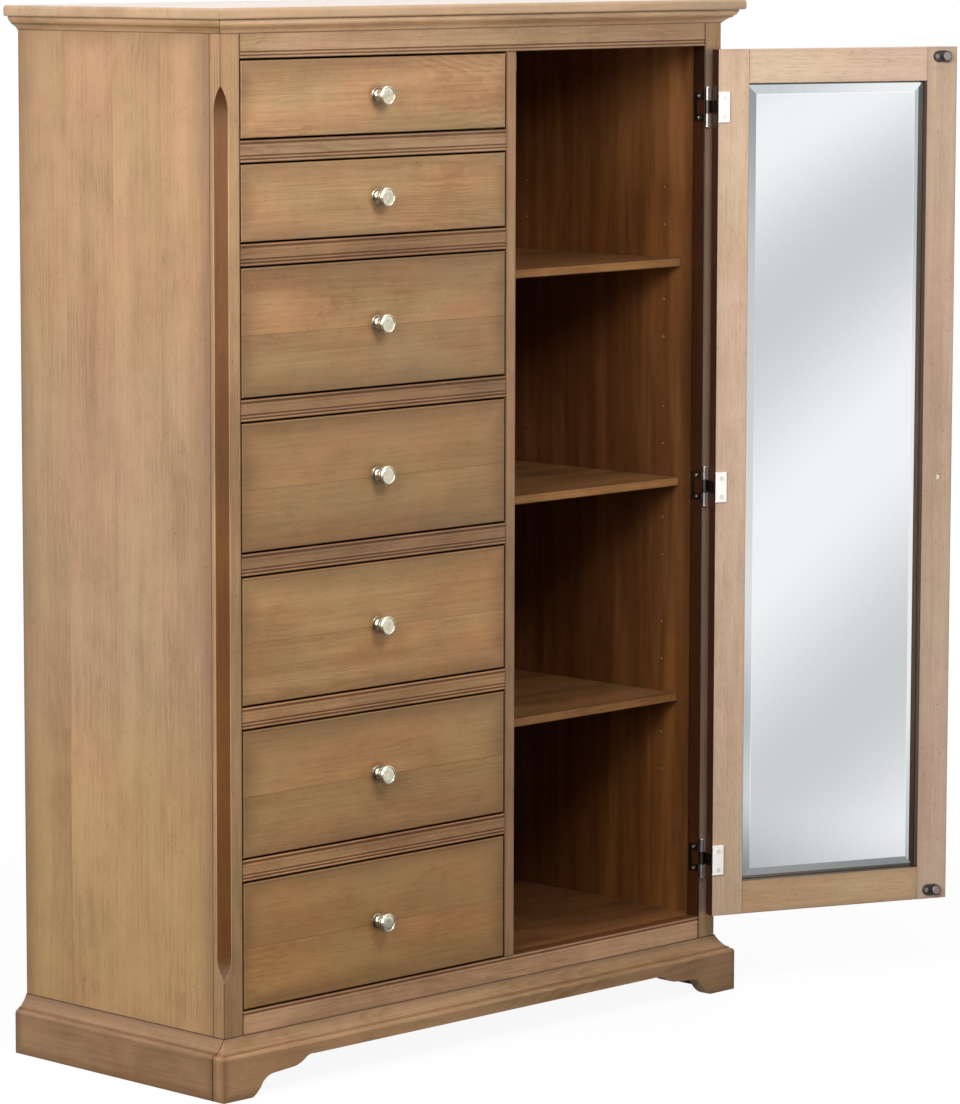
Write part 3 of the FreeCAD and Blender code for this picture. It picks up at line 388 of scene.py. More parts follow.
@dataclass(frozen=True)
class Streaks:
    """A mask of soft upright streaks, as the stain takes on a wide board."""

    across: float = 42.0
    along: float = 2.6
    detail: float = 4.0
    warp: float = 0.3
    rise: tuple[float, float] = (0.33, 0.67)

    def mask(self, parts: list[Value]) -> Value:
        """Noise that is squeezed across the streaks.

        Args:
            parts: split coordinates.

        Returns:
            The mask.
        """
        shader = parts[0].shader
        scaled = [parts[0] * self.across, parts[1] * self.across, parts[2] * self.along]
        place = shader.node("ShaderNodeCombineXYZ", {}, scaled)
        return shader.noise(place, (1.0, 1.0, 1.0), self.detail, self.warp).ramp(*self.rise)


Mask = Union[Span, Line, Mitre, Halo, Streaks]


@dataclass(frozen=True)
class StainAndPaintedLight:
    """A tint that multiplies the wood's colour where all its masks meet: real stain colours, and painted
    light and shade.
    """

    masks: tuple[Mask, ...]
    tint: Colour

    def lay(self, shader: Shader, parts: list[Value], colour: Value) -> Value:
        """Tint a colour.

        Args:
            shader: the material.
            parts: split coordinates.
            colour: the colour below the tint.

        Returns:
            The tinted colour.
        """
        total = self.masks[0].mask(parts)
        for mask in self.masks[1:]:
            total = total * mask.mask(parts)
        return shader.mix(total, colour, self.tint, "MULTIPLY")


@dataclass(frozen=True)
class Boards:
    """Boards glued edge to edge: the axis across them, their width and where the first begins."""

    across: Axis
    width: float
    first: float = 0.0
    glue_half: float = 0.7 * MM

    def lay(
        self, shader: Shader, parts: list[Value], place: Value, seed: float
    ) -> tuple[Value, Value, Value]:
        """Cut each board from another place of the tree.

        Args:
            shader: the material.
            parts: split coordinates.
            place: the vector that the figure is read at.
            seed: a number that sets this piece's boards apart from others.

        Returns:
            The vector shifted by a random step for each board, each board's tone from 0 to 1, and a mask
            of the glue lines.
        """
        cells = (parts[self.across.value] - self.first) / self.width
        number = cells.floor()
        settings = {"noise_dimensions": "1D"}
        offset = shader.node("ShaderNodeTexWhiteNoise", settings, {"W": number + seed}, 1)
        tone = shader.node("ShaderNodeTexWhiteNoise", settings, {"W": number + (seed + 0.5)})
        glue = self.glue_half / self.width
        seam = abs(cells - number - 0.5).ramp(0.5 - glue, 0.5 - 0.2 * glue)
        moved = shader.node("ShaderNodeVectorMath", {"operation": "ADD"}, [place, offset])
        return moved, tone, seam


@dataclass(frozen=True)
class Glaze:
    """Dark glaze along a board's edges; a dark line at the very edges, partly glaze and partly painted shadow
    of the gaps between parts; and a pale line along the edges, a painted highlight where they catch the light
    as well as rubbing.
    """

    reach: float
    strength: float
    line: float
    rub_and_highlight: float = 0.0
    line_width: float = 1.7 * MM
    rub_and_highlight_width: float = 0.8 * MM
    uneven: float = 1.6
    fall: float = 1.4

    def edge(self, parts: list[Value], low: np.ndarray, high: np.ndarray) -> Value:
        """Distance to the nearest edge of the box between two corners.

        On a face one of the three distances inward is zero, so the nearest edge is as far as the second
        least of them: the greater of the lesser of two, and the lesser of their greater and the third.

        Args:
            parts: split coordinates.
            low: the box's lowest corner.
            high: its highest corner.

        Returns:
            The distance.
        """
        inward = []
        for axis in Axis:
            centre = float(low[axis.value] + high[axis.value]) / 2
            half = float(high[axis.value] - low[axis.value]) / 2
            inward.append(half - abs(parts[axis.value] - centre))
        first, second, third = inward
        return first.least(second).most(first.most(second).least(third))

    def lay(
        self, shader: Shader, colour: Value, near: Value, cloud: Value, dark: Colour, pale: Colour
    ) -> Value:
        """Lay the glaze, the dark edge line that is partly painted shadow, and the pale edge line that is
        painted highlight and rubbing.

        Args:
            shader: the material.
            colour: the bare wood.
            near: distance to the nearest edge.
            cloud: noise that makes the band uneven.
            dark: the glaze's colour.
            pale: the colour of the painted highlight and rubbed wood on the edges.

        Returns:
            The wood's colour.
        """
        wavy = near + (cloud - 0.5) * (self.uneven * self.reach)
        band = wavy.ramp(self.reach, -0.2 * self.reach) ** self.fall * self.strength
        # The dark line at the very edge: partly glaze, partly painted shadow of the gaps between parts.
        line = near.ramp(self.line_width, 0.3 * self.line_width) * self.line
        colour = shader.mix(band.most(line), colour, dark)
        # The pale line: painted highlight where an edge catches the light, and rubbing.
        if self.rub_and_highlight:
            colour = shader.mix(near.ramp(self.rub_and_highlight_width, 0.2 * self.rub_and_highlight_width) * self.rub_and_highlight, colour, pale)
        return colour


@dataclass(frozen=True)
class Cells:
    """Cells of a noise in a metre: along the grain and across it."""

    along: float
    across: float

    def stretch(self, grain: Axis) -> tuple[float, ...]:
        """The same for each axis."""
        return tuple(self.along if axis is grain else self.across for axis in Axis)


CLOUD_CELLS = Cells(5.0, 8.0)
FIBRE_CELLS = Cells(8.0, 330.0)
PORE_CELLS = Cells(70.0, 1500.0)
STREAK_CELLS = Cells(1.2, 16.0)
MOTTLE_CELLS = Cells(32.0, 32.0)
WAVE_CELLS = Cells(0.5, 7.0)
HUE_CELLS = Cells(5.0, 11.0)
FLECK_CELLS = Cells(45.0, 520.0)
SPECK_CELLS = Cells(340.0, 340.0)


@dataclass(frozen=True)
class Wood:
    """Stained hardwood under satin lacquer: figure, growth rings, fibres, pores, flecks and specks."""

    light: Colour
    dark: Colour
    shade: Colour
    gloss: float = 0.42
    coat: float = 0.18
    blotch: float = 1.0
    rings: float = 0.10
    hues: float = 0.48
    board_hues: float = 0.48
    rosy: Colour = (1.05, 0.95, 0.95)
    olive: Colour = (0.96, 0.995, 0.90)
    board_tone: float = 0.34
    glue_tone: float = 0.45
    specular: float = 0.28
    relief: float = 0.12 * MM
    spread: float = 0.48
    pores: float = 0.28
    flecks: float = 0.30
    specks: float = 0.6
    wave_radians: float = 460.0
    wave_nudge: float = 9.0
    coat_gloss: float = 0.22

    def toned(self, red: float, green: float, blue: float) -> "Wood":
        """The same wood with its light and dark colours multiplied."""
        light, dark = np.multiply((self.light, self.dark), (red, green, blue)).tolist()
        return replace(self, light=tuple(light), dark=tuple(dark))

    def dress(
        self,
        piece: bpy.types.Object,
        grain: Axis,
        glaze: Union[Glaze, None] = None,
        tints: Sequence[StainAndPaintedLight] = (),
        boards: Union[Boards, None] = None,
        open_door: bool = False,
    ) -> None:
        """Give a piece its own cut of this wood.

        Args:
            piece: the mesh to dress.
            grain: the axis that the fibres follow.
            glaze: the glaze at its edges, with its partly painted shadow line and its painted highlight with
                rubbing.
            tints: stain colours, and painted light and shade, on parts of it.
            boards: the boards that it is glued up from.
            open_door: whether the piece belongs to the turned door.
        """
        shader = Shader(bpy.data.materials.new(f"wood_{piece.name}"))
        place = shader.node("ShaderNodeTexCoord", {}, {}, 3)
        if open_door:
            place = DOOR.mapping(shader, place)
        parts = shader.split(place)
        seed = seed_of(piece.name)
        moved = shader.vector("ADD", place, seed)
        if boards:
            moved, tone, seam = boards.lay(shader, parts, moved, seed[0])
        cloud = shader.noise(moved, CLOUD_CELLS.stretch(grain), 2.0, 0.6)
        fibre = shader.noise(moved, FIBRE_CELLS.stretch(grain), 4.0)
        pores = shader.noise(moved, PORE_CELLS.stretch(grain), 1.0).ramp(0.60, 0.74)
        colour = self.figure(shader, moved, grain, cloud, fibre)
        if boards:
            colour = shader.mix(tone * self.board_tone, colour, self.dark)
            hue = shader.mix(tone, self.rosy, self.olive)
            colour = shader.mix(self.board_hues, colour, hue, "MULTIPLY")
            colour = shader.mix(seam * self.glue_tone, colour, self.shade)
        colour = shader.mix(pores * self.pores, colour, self.shade)
        if glaze:
            near = glaze.edge(parts, *box_of(piece, open_door))
            colour = glaze.lay(shader, colour, near, cloud, self.shade, self.light)
        # Stain colours of the wood, and painted light and shade, laid in turn.
        for stain in tints:
            colour = stain.lay(shader, parts, colour)
        normal = shader.bump(fibre * 0.6 - pores, self.relief)
        surface = shader.principled(
            normal,
            Base_Color=colour,
            Roughness=fibre * 0.14 + pores * 0.10 + (self.gloss - 0.07),
            Coat_Weight=self.coat,
            Coat_Roughness=self.coat_gloss,
            Specular_IOR_Level=self.specular,
        )
        paint(piece, shader.finish(surface))

    def figure(self, shader: Shader, moved: Value, grain: Axis, cloud: Value, fibre: Value) -> Value:
        """Colour of the bare stained wood.

        Its depth is a sum of stretched noises about its own middle. The rippled figure is the sine of
        a broad noise times many radians, nudged by the mottle and shown only in clouds.

        Args:
            shader: the material.
            moved: the vector that the figure is read at.
            grain: the axis that the fibres follow.
            cloud: soft blotches.
            fibre: fine streaks.

        Returns:
            The colour.
        """
        streak = shader.noise(moved, STREAK_CELLS.stretch(grain), 4.0, 0.35)
        mottle = shader.noise(moved, MOTTLE_CELLS.stretch(grain), 3.0, 0.5)
        broad = shader.noise(moved, WAVE_CELLS.stretch(grain), 1.0, 0.3)
        waves = broad * self.wave_radians + mottle * self.wave_nudge
        rings = waves.sine() * cloud.ramp(0.52, 0.64)
        depth = streak * 1.1 + fibre * 0.65 + cloud * self.blotch + mottle * 0.30 + rings * self.rings
        middle = 1.03 + 0.5 * self.blotch
        colour = shader.mix(depth.ramp(middle - self.spread, middle + self.spread), self.light, self.dark)
        hue = shader.noise(moved, HUE_CELLS.stretch(grain), 2.0, 0.6).ramp(0.36, 0.64)
        colour = shader.mix(self.hues, colour, shader.mix(hue, self.rosy, self.olive), "MULTIPLY")
        flecks = shader.noise(moved, FLECK_CELLS.stretch(grain), 2.0).ramp(0.60, 0.78)
        colour = shader.mix(flecks * self.flecks, colour, self.light)
        specks = shader.noise(moved, SPECK_CELLS.stretch(grain), 1.0).ramp(0.67, 0.75)
        return shader.mix(specks * mottle.ramp(0.52, 0.62) * self.specks, colour, self.shade)


@dataclass(frozen=True)
class Metal:
    """Plated metal: fine scratches, dull patches and dark patina in its hollows."""

    tint: Colour
    rough: float
    patina: Colour = (0.060, 0.040, 0.025)
    hollows: str = "hollow"
    second_tint: Colour = (0.66, 0.64, 0.58)
    second_metallic: float = 0.0
    cloud_cells: Triple = (160.0, 160.0, 160.0)
    scratch_cells: Triple = (900.0, 900.0, 6000.0)
    relief: float = 0.02 * MM

    def dress(
        self, piece: bpy.types.Object, second: Union[Span, None] = None, open_door: bool = False
    ) -> None:
        """Give a piece this metal; patina lies where the mesh's hollow attribute says so.

        Args:
            piece: the mesh to dress.
            second: where the second finish shows.
            open_door: whether the piece belongs to the turned door.
        """
        shader = Shader(bpy.data.materials.new(f"metal_{piece.name}"))
        place = shader.node("ShaderNodeTexCoord", {}, {}, 3)
        cloud = shader.noise(place, self.cloud_cells, 3.0)
        scratch = shader.noise(place, self.scratch_cells, 2.0, 0.3)
        colour = shader.mix(cloud.ramp(0.45, 0.75) * 0.22, self.tint, self.patina)
        rough = cloud * 0.14 + scratch * 0.08 + (self.rough - 0.11)
        if self.hollows in piece.data.attributes:
            hollow = shader.node("ShaderNodeAttribute", {"attribute_name": self.hollows}, {}, 2)
            colour = shader.mix((hollow * (cloud + 0.5)).least(1.0) * 0.9, colour, self.patina)
            rough = rough + hollow * 0.25
        metallic = 1.0
        if second:
            share = second.mask(shader.split(DOOR.mapping(shader, place) if open_door else place))
            colour = shader.mix(share, colour, self.second_tint)
            metallic = 1 - share * (1 - self.second_metallic)
        normal = shader.bump(scratch, self.relief)
        surface = shader.principled(normal, Base_Color=colour, Metallic=metallic, Roughness=rough)
        paint(piece, shader.finish(surface))


@dataclass(frozen=True)
class Plastic:
    """Moulded plastic: faint orange peel, rubbed patches and grime."""

    tint: Colour
    grime: Colour
    rough: float
    peel_cells: Triple = (1800.0, 1800.0, 1800.0)
    cloud_cells: Triple = (140.0, 140.0, 140.0)
    relief: float = 0.03 * MM

    def dress(self, piece: bpy.types.Object) -> None:
        """Give a piece this plastic.

        Args:
            piece: the mesh to dress.
        """
        shader = Shader(bpy.data.materials.new(f"plastic_{piece.name}"))
        place = shader.node("ShaderNodeTexCoord", {}, {}, 3)
        peel = shader.noise(place, self.peel_cells, 1.0)
        cloud = shader.noise(place, self.cloud_cells, 3.0)
        colour = shader.mix(cloud.ramp(0.45, 0.8) * 0.35, self.tint, self.grime)
        rough = cloud * 0.2 + (self.rough - 0.1)
        normal = shader.bump(peel, self.relief)
        surface = shader.principled(normal, Base_Color=colour, Roughness=rough, Specular_IOR_Level=0.5)
        paint(piece, shader.finish(surface))


@dataclass(frozen=True)
class Mirror:
    """Silvered glass with a bevelled rim: cool and clear in the middle, with painted reflections on the
    bevels, a painted highlight inside them and a painted shadow at the edge.
    """

    tint: Colour
    bevel_reflection: Colour
    rim: Colour
    bright_reflection: Colour = (0.98, 0.99, 0.99)
    waist: tuple[float, float] = (0.50, 0.22)
    waist_rise: float = 0.11
    bevel_width: float = 16.0 * MM
    bevel_blend: float = 0.8 * MM
    highlight_line_half: float = 0.9 * MM
    rim_shade_width: float = 1.6 * MM
    streak_cells: Cells = Cells(0.6, 90.0)
    dust_cells: Triple = (60.0, 60.0, 60.0)

    def dress(self, piece: bpy.types.Object) -> None:
        """Give the mirror plate its silver.

        The bevels carry a painted reflection. The upright ones are grey, and brighter about their middle,
        higher up by the hinges. The level ones turn from grey to clear along their length, the upper towards
        the free stile and the lower towards the hinges. A painted highlight runs round inside them, and a
        painted shadow runs along the plate's edge.

        Args:
            piece: the mirror plate.
        """
        shader = Shader(bpy.data.materials.new(f"mirror_{piece.name}"))
        place = shader.node("ShaderNodeTexCoord", {}, {}, 3)
        low, high = box_of(piece, True)
        parts = shader.split(DOOR.mapping(shader, place))
        middle_x, _, middle_z = ((low + high) / 2).tolist()
        half_x, _, half_z = ((high - low) / 2).tolist()
        aside = half_x - abs(parts[0] - middle_x)
        above = half_z - abs(parts[2] - middle_z)
        inward = aside.least(above)
        strip = inward.ramp(self.bevel_width, self.bevel_width - self.bevel_blend)
        level = (aside - above).ramp(-0.5 * MM, 0.5 * MM)
        share = (parts[0] - middle_x) / -half_x
        upper = parts[2].ramp(middle_z - 0.1, middle_z + 0.1, -1.0, 1.0)
        clear = (share * upper).ramp(-0.9, 0.9) * level
        waist = abs(parts[2] - middle_z + share * self.waist_rise).ramp(*self.waist)
        # Painted reflection on the bevels: grey, lighter at a waist, turning clear along the level ones.
        bevel_reflection = shader.mix(clear, shader.mix(waist, self.bevel_reflection, self.bright_reflection), self.tint)
        streak = shader.noise(place, self.streak_cells.stretch(Axis.Z), 1.0)
        colour = shader.mix(strip, self.tint, shader.mix(streak * 0.3, bevel_reflection, self.tint))
        # A painted highlight round the inside of the bevels.
        line = abs(inward - self.bevel_width).ramp(self.highlight_line_half, 0.2 * MM)
        colour = shader.mix(line * 0.8, colour, WHITE)
        # A painted shadow along the plate's edge, next to the frame.
        colour = shader.mix(inward.ramp(self.rim_shade_width, 0.3 * MM) * 0.7, colour, self.rim)
        dust = shader.noise(place, self.dust_cells, 4.0)
        rough = dust.ramp(0.4, 0.8) * 0.03 + 0.015
        surface = shader.principled(None, Base_Color=colour, Metallic=1.0, Roughness=rough)
        paint(piece, shader.finish(surface))


def seed_of(name: str) -> tuple[float, float, float]:
    """A fixed shift of some metres for each piece, worked out from its name's letters."""
    total = sum((place + 1) * ord(letter) for place, letter in enumerate(name))
    return (total * 0.137 % 7.0, total * 0.291 % 5.0, total * 0.073 % 9.0)


def paint(piece: bpy.types.Object, material: bpy.types.Material) -> None:
    """Make a material the only one of a mesh."""
    piece.data.materials.clear()
    piece.data.materials.append(material)


def points_of(piece: bpy.types.Object, open_door: bool = False) -> np.ndarray:
    """Places of a mesh's points.

    Args:
        piece: the mesh.
        open_door: whether it belongs to the turned door, whose points are then brought back.

    Returns:
        One row of three coordinates for each point.
    """
    flat = np.empty(len(piece.data.vertices) * 3)
    piece.data.vertices.foreach_get("co", flat)
    points = flat.reshape(-1, 3)
    return DOOR.undo(points) if open_door else points


def box_of(piece: bpy.types.Object, open_door: bool = False) -> tuple[np.ndarray, np.ndarray]:
    """Lowest and highest corner of a mesh, of the closed door where it is one of its pieces."""
    points = points_of(piece, open_door)
    return points.min(axis=0), points.max(axis=0)


# Finishes of this chest
GLAZED = (0.055, 0.024, 0.010)
CASE_WOOD = Wood((0.50, 0.295, 0.142), (0.285, 0.152, 0.062), GLAZED)
POST_WOOD = CASE_WOOD.toned(0.80, 0.84, 0.92)
TOP_RAIL_WOOD = CASE_WOOD.toned(0.91, 1.00, 1.24)
# Painted light: the crown is painted lighter than the case wood, standing in for light bounced up under the
# top board's overhang, the front more than the sides.
CROWN_FRONT_LIT_WOOD = CASE_WOOD.toned(1.62, 1.82, 2.30)
CROWN_SIDE_LIT_WOOD = CASE_WOOD.toned(1.12, 1.22, 1.32)
FRONT_WOOD = replace(CASE_WOOD, hues=0.85, board_hues=0.30, rosy=(1.07, 0.94, 0.86), olive=(0.95, 1.00, 0.93))
SIDE_WOOD = Wood(
    (0.475, 0.300, 0.168),
    (0.30, 0.178, 0.091),
    GLAZED,
    board_tone=0.20,
    glue_tone=0.16,
    rings=0.12,
)
RAIL_WOOD = Wood((0.33, 0.178, 0.082), (0.17, 0.082, 0.034), GLAZED).toned(0.90, 0.92, 0.95)
STILE_WOOD = Wood((0.42, 0.245, 0.128), (0.22, 0.112, 0.052), GLAZED)
BOTTOM_RAIL_WOOD = STILE_WOOD.toned(1.37, 1.42, 1.56)
MID_STILE_WOOD = STILE_WOOD.toned(0.9, 0.92, 0.95)
BASE_WOOD = Wood((0.40, 0.235, 0.118), (0.21, 0.112, 0.048), GLAZED)
BASE_SIDE_WOOD = BASE_WOOD.toned(0.80, 0.80, 0.85)
TOP_WOOD = Wood(
    (0.56, 0.38, 0.225),
    (0.36, 0.225, 0.12),
    (0.085, 0.045, 0.022),
    gloss=0.26,
    coat=0.9,
    relief=0.02 * MM,
    glue_tone=0.15,
    board_tone=0.2,
)
# Painted shade: the shelves, the case's floor and the base's back are painted dark for the shade deep inside
# the case.
SHELF_SHADE_WOOD = Wood((0.27, 0.126, 0.047), (0.098, 0.042, 0.013), (0.03, 0.015, 0.008), 0.55, 0.0, specular=0.15)
FLOOR_SHADE_WOOD = SHELF_SHADE_WOOD.toned(0.74, 0.68, 0.64)
DOOR_WOOD = Wood((0.60, 0.445, 0.330), (0.43, 0.29, 0.196), (0.085, 0.040, 0.022), blotch=0.7, rings=0.05)
FREE_STILE_WOOD = DOOR_WOOD.toned(0.95, 0.94, 0.98)
DOOR_SILL_WOOD = DOOR_WOOD.toned(0.86, 0.79, 0.64)
# Painted shade: the back and the partition are painted dark for the shade deep inside the case.
INNER_SHADE_WOOD = Wood(
    (0.62, 0.295, 0.095),
    (0.165, 0.062, 0.017),
    (0.02, 0.010, 0.006),
    gloss=0.55,
    coat=0.0,
    board_tone=0.45,
    specular=0.15,
    spread=0.40,
)
BOX_WOOD = Wood((0.62, 0.46, 0.29), (0.42, 0.27, 0.15), (0.16, 0.09, 0.05), gloss=0.55, coat=0.05)
NICKEL = Metal((0.87, 0.81, 0.63), 0.17)
HINGE_STEEL = Metal((0.88, 0.85, 0.78), 0.20)
PIN_STEEL = Metal((0.96, 0.94, 0.90), 0.34)
CATCH_STEEL = Metal((0.36, 0.31, 0.29), 0.36)
PEG_STEEL = Metal((0.34, 0.26, 0.19), 0.40)
DARK_STEEL = Metal((0.085, 0.068, 0.056), 0.34)
CREAM = Plastic((0.88, 0.87, 0.82), (0.72, 0.69, 0.62), 0.42)
BLACK = Plastic((0.030, 0.022, 0.020), (0.10, 0.08, 0.07), 0.30)
# The mirror's second colour is the bevels' painted reflection, its third the painted shadow at its edge.
SILVER = Mirror((0.86, 0.89, 0.905), (0.52, 0.57, 0.58), (0.20, 0.22, 0.22))
# In each glaze the third number is the dark edge line, partly painted shadow of the gaps; the drawers' fourth
# is the pale painted highlight with rubbing.
SIDE_GLAZE = Glaze(0.05, 0.42, 0.62)
POST_GLAZE = Glaze(0.007, 0.22, 0.72)
TOP_RAIL_GLAZE = Glaze(0.012, 0.20, 0.70)
RAIL_GLAZE = Glaze(0.006, 0.20, 0.70)
STILE_GLAZE = Glaze(0.005, 0.25, 0.65)
TOP_GLAZE = Glaze(0.02, 0.22, 0.40)
BASE_GLAZE = Glaze(0.016, 0.42, 0.5)
SHELF_GLAZE = Glaze(0.012, 0.25, 0.5)
FRONT_GLAZE = Glaze(0.05, 0.46, 0.42, 0.45)
DOOR_GLAZE = Glaze(0.010, 0.14, 0.18)


# Meshes from whole arrays


def grid_faces(rows: int, columns: int, closed: bool = False) -> np.ndarray:
    """Four corners of each cell of a grid of points, as whole arrays.

    Args:
        rows: rows of points.
        columns: points in a row.
        closed: whether the last point of a row joins the first.

    Returns:
        One row of four point numbers for each cell.
    """
    across = np.arange(columns if closed else columns - 1)
    row, column = np.meshgrid(np.arange(rows - 1), across, indexing="ij")
    row, column = row.ravel() * columns, column.ravel()
    after = (column + 1) % columns
    return np.stack((row + column, row + after, row + columns + after, row + columns + column), axis=1)


def make_mesh(name: str, shells: Sequence[Shell], crease: float = 32.0) -> bpy.types.Object:
    """Make one object of several closed shells.

    Args:
        name: the object's name.
        shells: for each shell its points, one row each, and its faces as rows of point numbers.
        crease: the angle in degrees above which an edge stays sharp.

    Returns:
        The object, in the scene, with its doubles merged and its faces outwards.
    """
    points = np.concatenate([shell[0] for shell in shells])
    faces, shift = [], 0
    for places, corners in shells:
        faces.extend([[int(corner) + shift for corner in face] for face in corners])
        shift += len(places)
    mesh = bpy.data.meshes.new(name)
    mesh.from_pydata(points.tolist(), [], faces)
    work = bmesh.new()
    work.from_mesh(mesh)
    bmesh.ops.remove_doubles(work, verts=work.verts, dist=1e-7)
    bmesh.ops.recalc_face_normals(work, faces=work.faces)
    work.to_mesh(mesh)
    work.free()
    mesh.shade_smooth()
    mesh.set_sharp_from_angle(angle=math.radians(crease))
    piece = bpy.data.objects.new(name, mesh)
    bpy.context.scene.collection.objects.link(piece)
    return piece


def arc(start: np.ndarray, middle: np.ndarray, end: np.ndarray, steps: int) -> np.ndarray:
    """Points of the circle through three places, from after start to end.

    The centre is where the perpendicular bisectors meet; the points are the centre plus the radius
    turned through even steps of the angle from start by way of middle to end.

    Args:
        start: the arc's first place.
        middle: a place on the way.
        end: its last place.
        steps: pieces of the arc.

    Returns:
        One row of two coordinates for each point.
    """
    sides = 2 * np.array([middle - start, end - start])
    sums = np.array([middle @ middle - start @ start, end @ end - start @ start])
    centre = np.linalg.solve(sides, sums)
    angles = [math.atan2(*(place - centre)[::-1]) for place in (start, middle, end)]
    turn = (angles[2] - angles[0]) % math.tau
    if (angles[1] - angles[0]) % math.tau > turn:
        turn -= math.tau
    steady = angles[0] + turn * np.linspace(0, 1, steps + 1)[1:]
    return centre + np.linalg.norm(start - centre) * np.stack([np.cos(steady), np.sin(steady)], axis=1)


def outline(rows: Sequence[Sequence[float]], scale: Sequence[float], steps: int = 10) -> np.ndarray:
    """An outline's points from its rows of shares.

    Args:
        rows: a pair is a straight edge's end, four numbers are an arc's middle and end.
        scale: the sizes that the shares follow.
        steps: pieces of each arc.

    Returns:
        One row of two coordinates for each point.
    """
    size = np.array(scale)
    points = [np.array(rows[0]) * size]
    for row in rows[1:]:
        if len(row) == 2:
            points.append(np.array(row) * size)
        else:
            points.extend(arc(points[-1], np.array(row[:2]) * size, np.array(row[2:]) * size, steps))
    return np.array(points)


def turned(profile: np.ndarray, turns: int = 72) -> Shell:
    """A profile of radius r and height h turned about Z: r cos t, r sin t, h for every angle t.

    Args:
        profile: rows of radius and height; it starts and ends on the axis to close.
        turns: points round the axis.

    Returns:
        Points and faces.
    """
    angle = np.linspace(0, math.tau, turns, endpoint=False)
    radius, height = profile[:, :1], profile[:, 1:]
    layers = [radius * np.cos(angle), radius * np.sin(angle), height + 0 * angle]
    return np.stack(layers, axis=2).reshape(-1, 3), grid_faces(len(profile), turns, closed=True)


def swept(start: np.ndarray, end: np.ndarray) -> Shell:
    """A closed section carried from its first place to its last, with a flat face at each end.

    Args:
        start: the section's points at the first end, in three coordinates.
        end: the same at the last end.

    Returns:
        Points and faces.
    """
    count = len(start)
    faces = grid_faces(2, count, closed=True).tolist()
    caps = [list(range(count))[::-1], list(range(count, 2 * count))]
    return np.concatenate([start, end]), faces + caps


def placed(shell: Shell, turn: Matrix, place: Sequence[float]) -> Shell:
    """A shell turned and then moved to its place."""
    return shell[0] @ np.array(turn.to_3x3()).T + np.array(place), shell[1]


def opened(shell: Shell) -> Shell:
    """A shell of the closed door carried to where the door stands."""
    matrix = DOOR.matrix()
    return shell[0] @ matrix[:3, :3].T + matrix[:3, 3], shell[1]


TOWARDS_FRONT = Matrix.Rotation(math.radians(90), 4, "X")
TOWARDS_BACK = Matrix.Rotation(math.radians(-90), 4, "X")
TOWARDS_LEFT = Matrix.Rotation(math.radians(-90), 4, "Y")


@dataclass(frozen=True)
class Screw:
    """A countersunk screw: a plain shank and a slightly domed head with a cross recess."""

    head_radius: float = 3.3 * MM
    head_height: float = 0.9 * MM
    shank_radius: float = 1.7 * MM
    length: float = 12.0 * MM
    recess: float = 0.62
    slot: float = 0.13
    depth: float = 0.7
    turns: int = 64

    def shell(self) -> Shell:
        """The screw along Z, with the underside of its head at zero and its shank below.

        The head's face is at the height 1 - 0.3 r squared of its own height, at the share r of its
        radius, less the recess, which is deepest at the middle and falls off along its four arms. An arm
        is where the distance to the nearer of two crossed lines is under the slot's half width.

        Returns:
            Points and faces.
        """
        angle = np.linspace(0, math.tau, self.turns, endpoint=False)
        share = np.concatenate([np.linspace(0, 0.9, 19), [0.96, 1.0]])[:, None]
        across, up = share * np.cos(angle), share * np.sin(angle)
        nearer = np.minimum(abs(across), abs(up))
        further = np.maximum(abs(across), abs(up))
        arm = np.clip((self.slot - nearer) / 0.05 + 0.5, 0, 1) * np.clip((self.recess - further) / 0.1, 0, 1)
        height = 1 - 0.3 * share**2 - self.depth * arm * (1 - 0.4 * further)
        head = [across * self.head_radius, up * self.head_radius, height * self.head_height]
        lower = np.array([(1.0, 0.25), (0.86, 0.0), (self.shank_radius / self.head_radius, 0.0)])
        rim = lower * (self.head_radius, self.head_height)
        shank = np.array([(1.0, -0.85), (0.0, -1.0)]) * (self.shank_radius, self.length)
        profile = np.concatenate([rim, shank])
        radius, level = profile[:, :1], profile[:, 1:]
        below = np.stack([radius * np.cos(angle), radius * np.sin(angle), level + 0 * angle], axis=2)
        points = np.concatenate([np.stack(head, axis=2), below]).reshape(-1, 3)
        return points, grid_faces(len(points) // len(angle), len(angle), closed=True)


# The object


def node(name: str) -> bpy.types.Object:
    """A node of the frame, by its name."""
    return frame["nodes"][name]


def ride(piece: bpy.types.Object, body: str, slot: str, *nodes: str) -> bpy.types.Object:
    """Let a new piece move with a body and stand for nodes of the frame.

    Args:
        piece: the new mesh.
        body: the body that it moves with.
        slot: not used.
        *nodes: the nodes that it stands for.

    Returns:
        The piece.
    """
    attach(piece, body)
    if nodes:
        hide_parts(*nodes)
    return piece


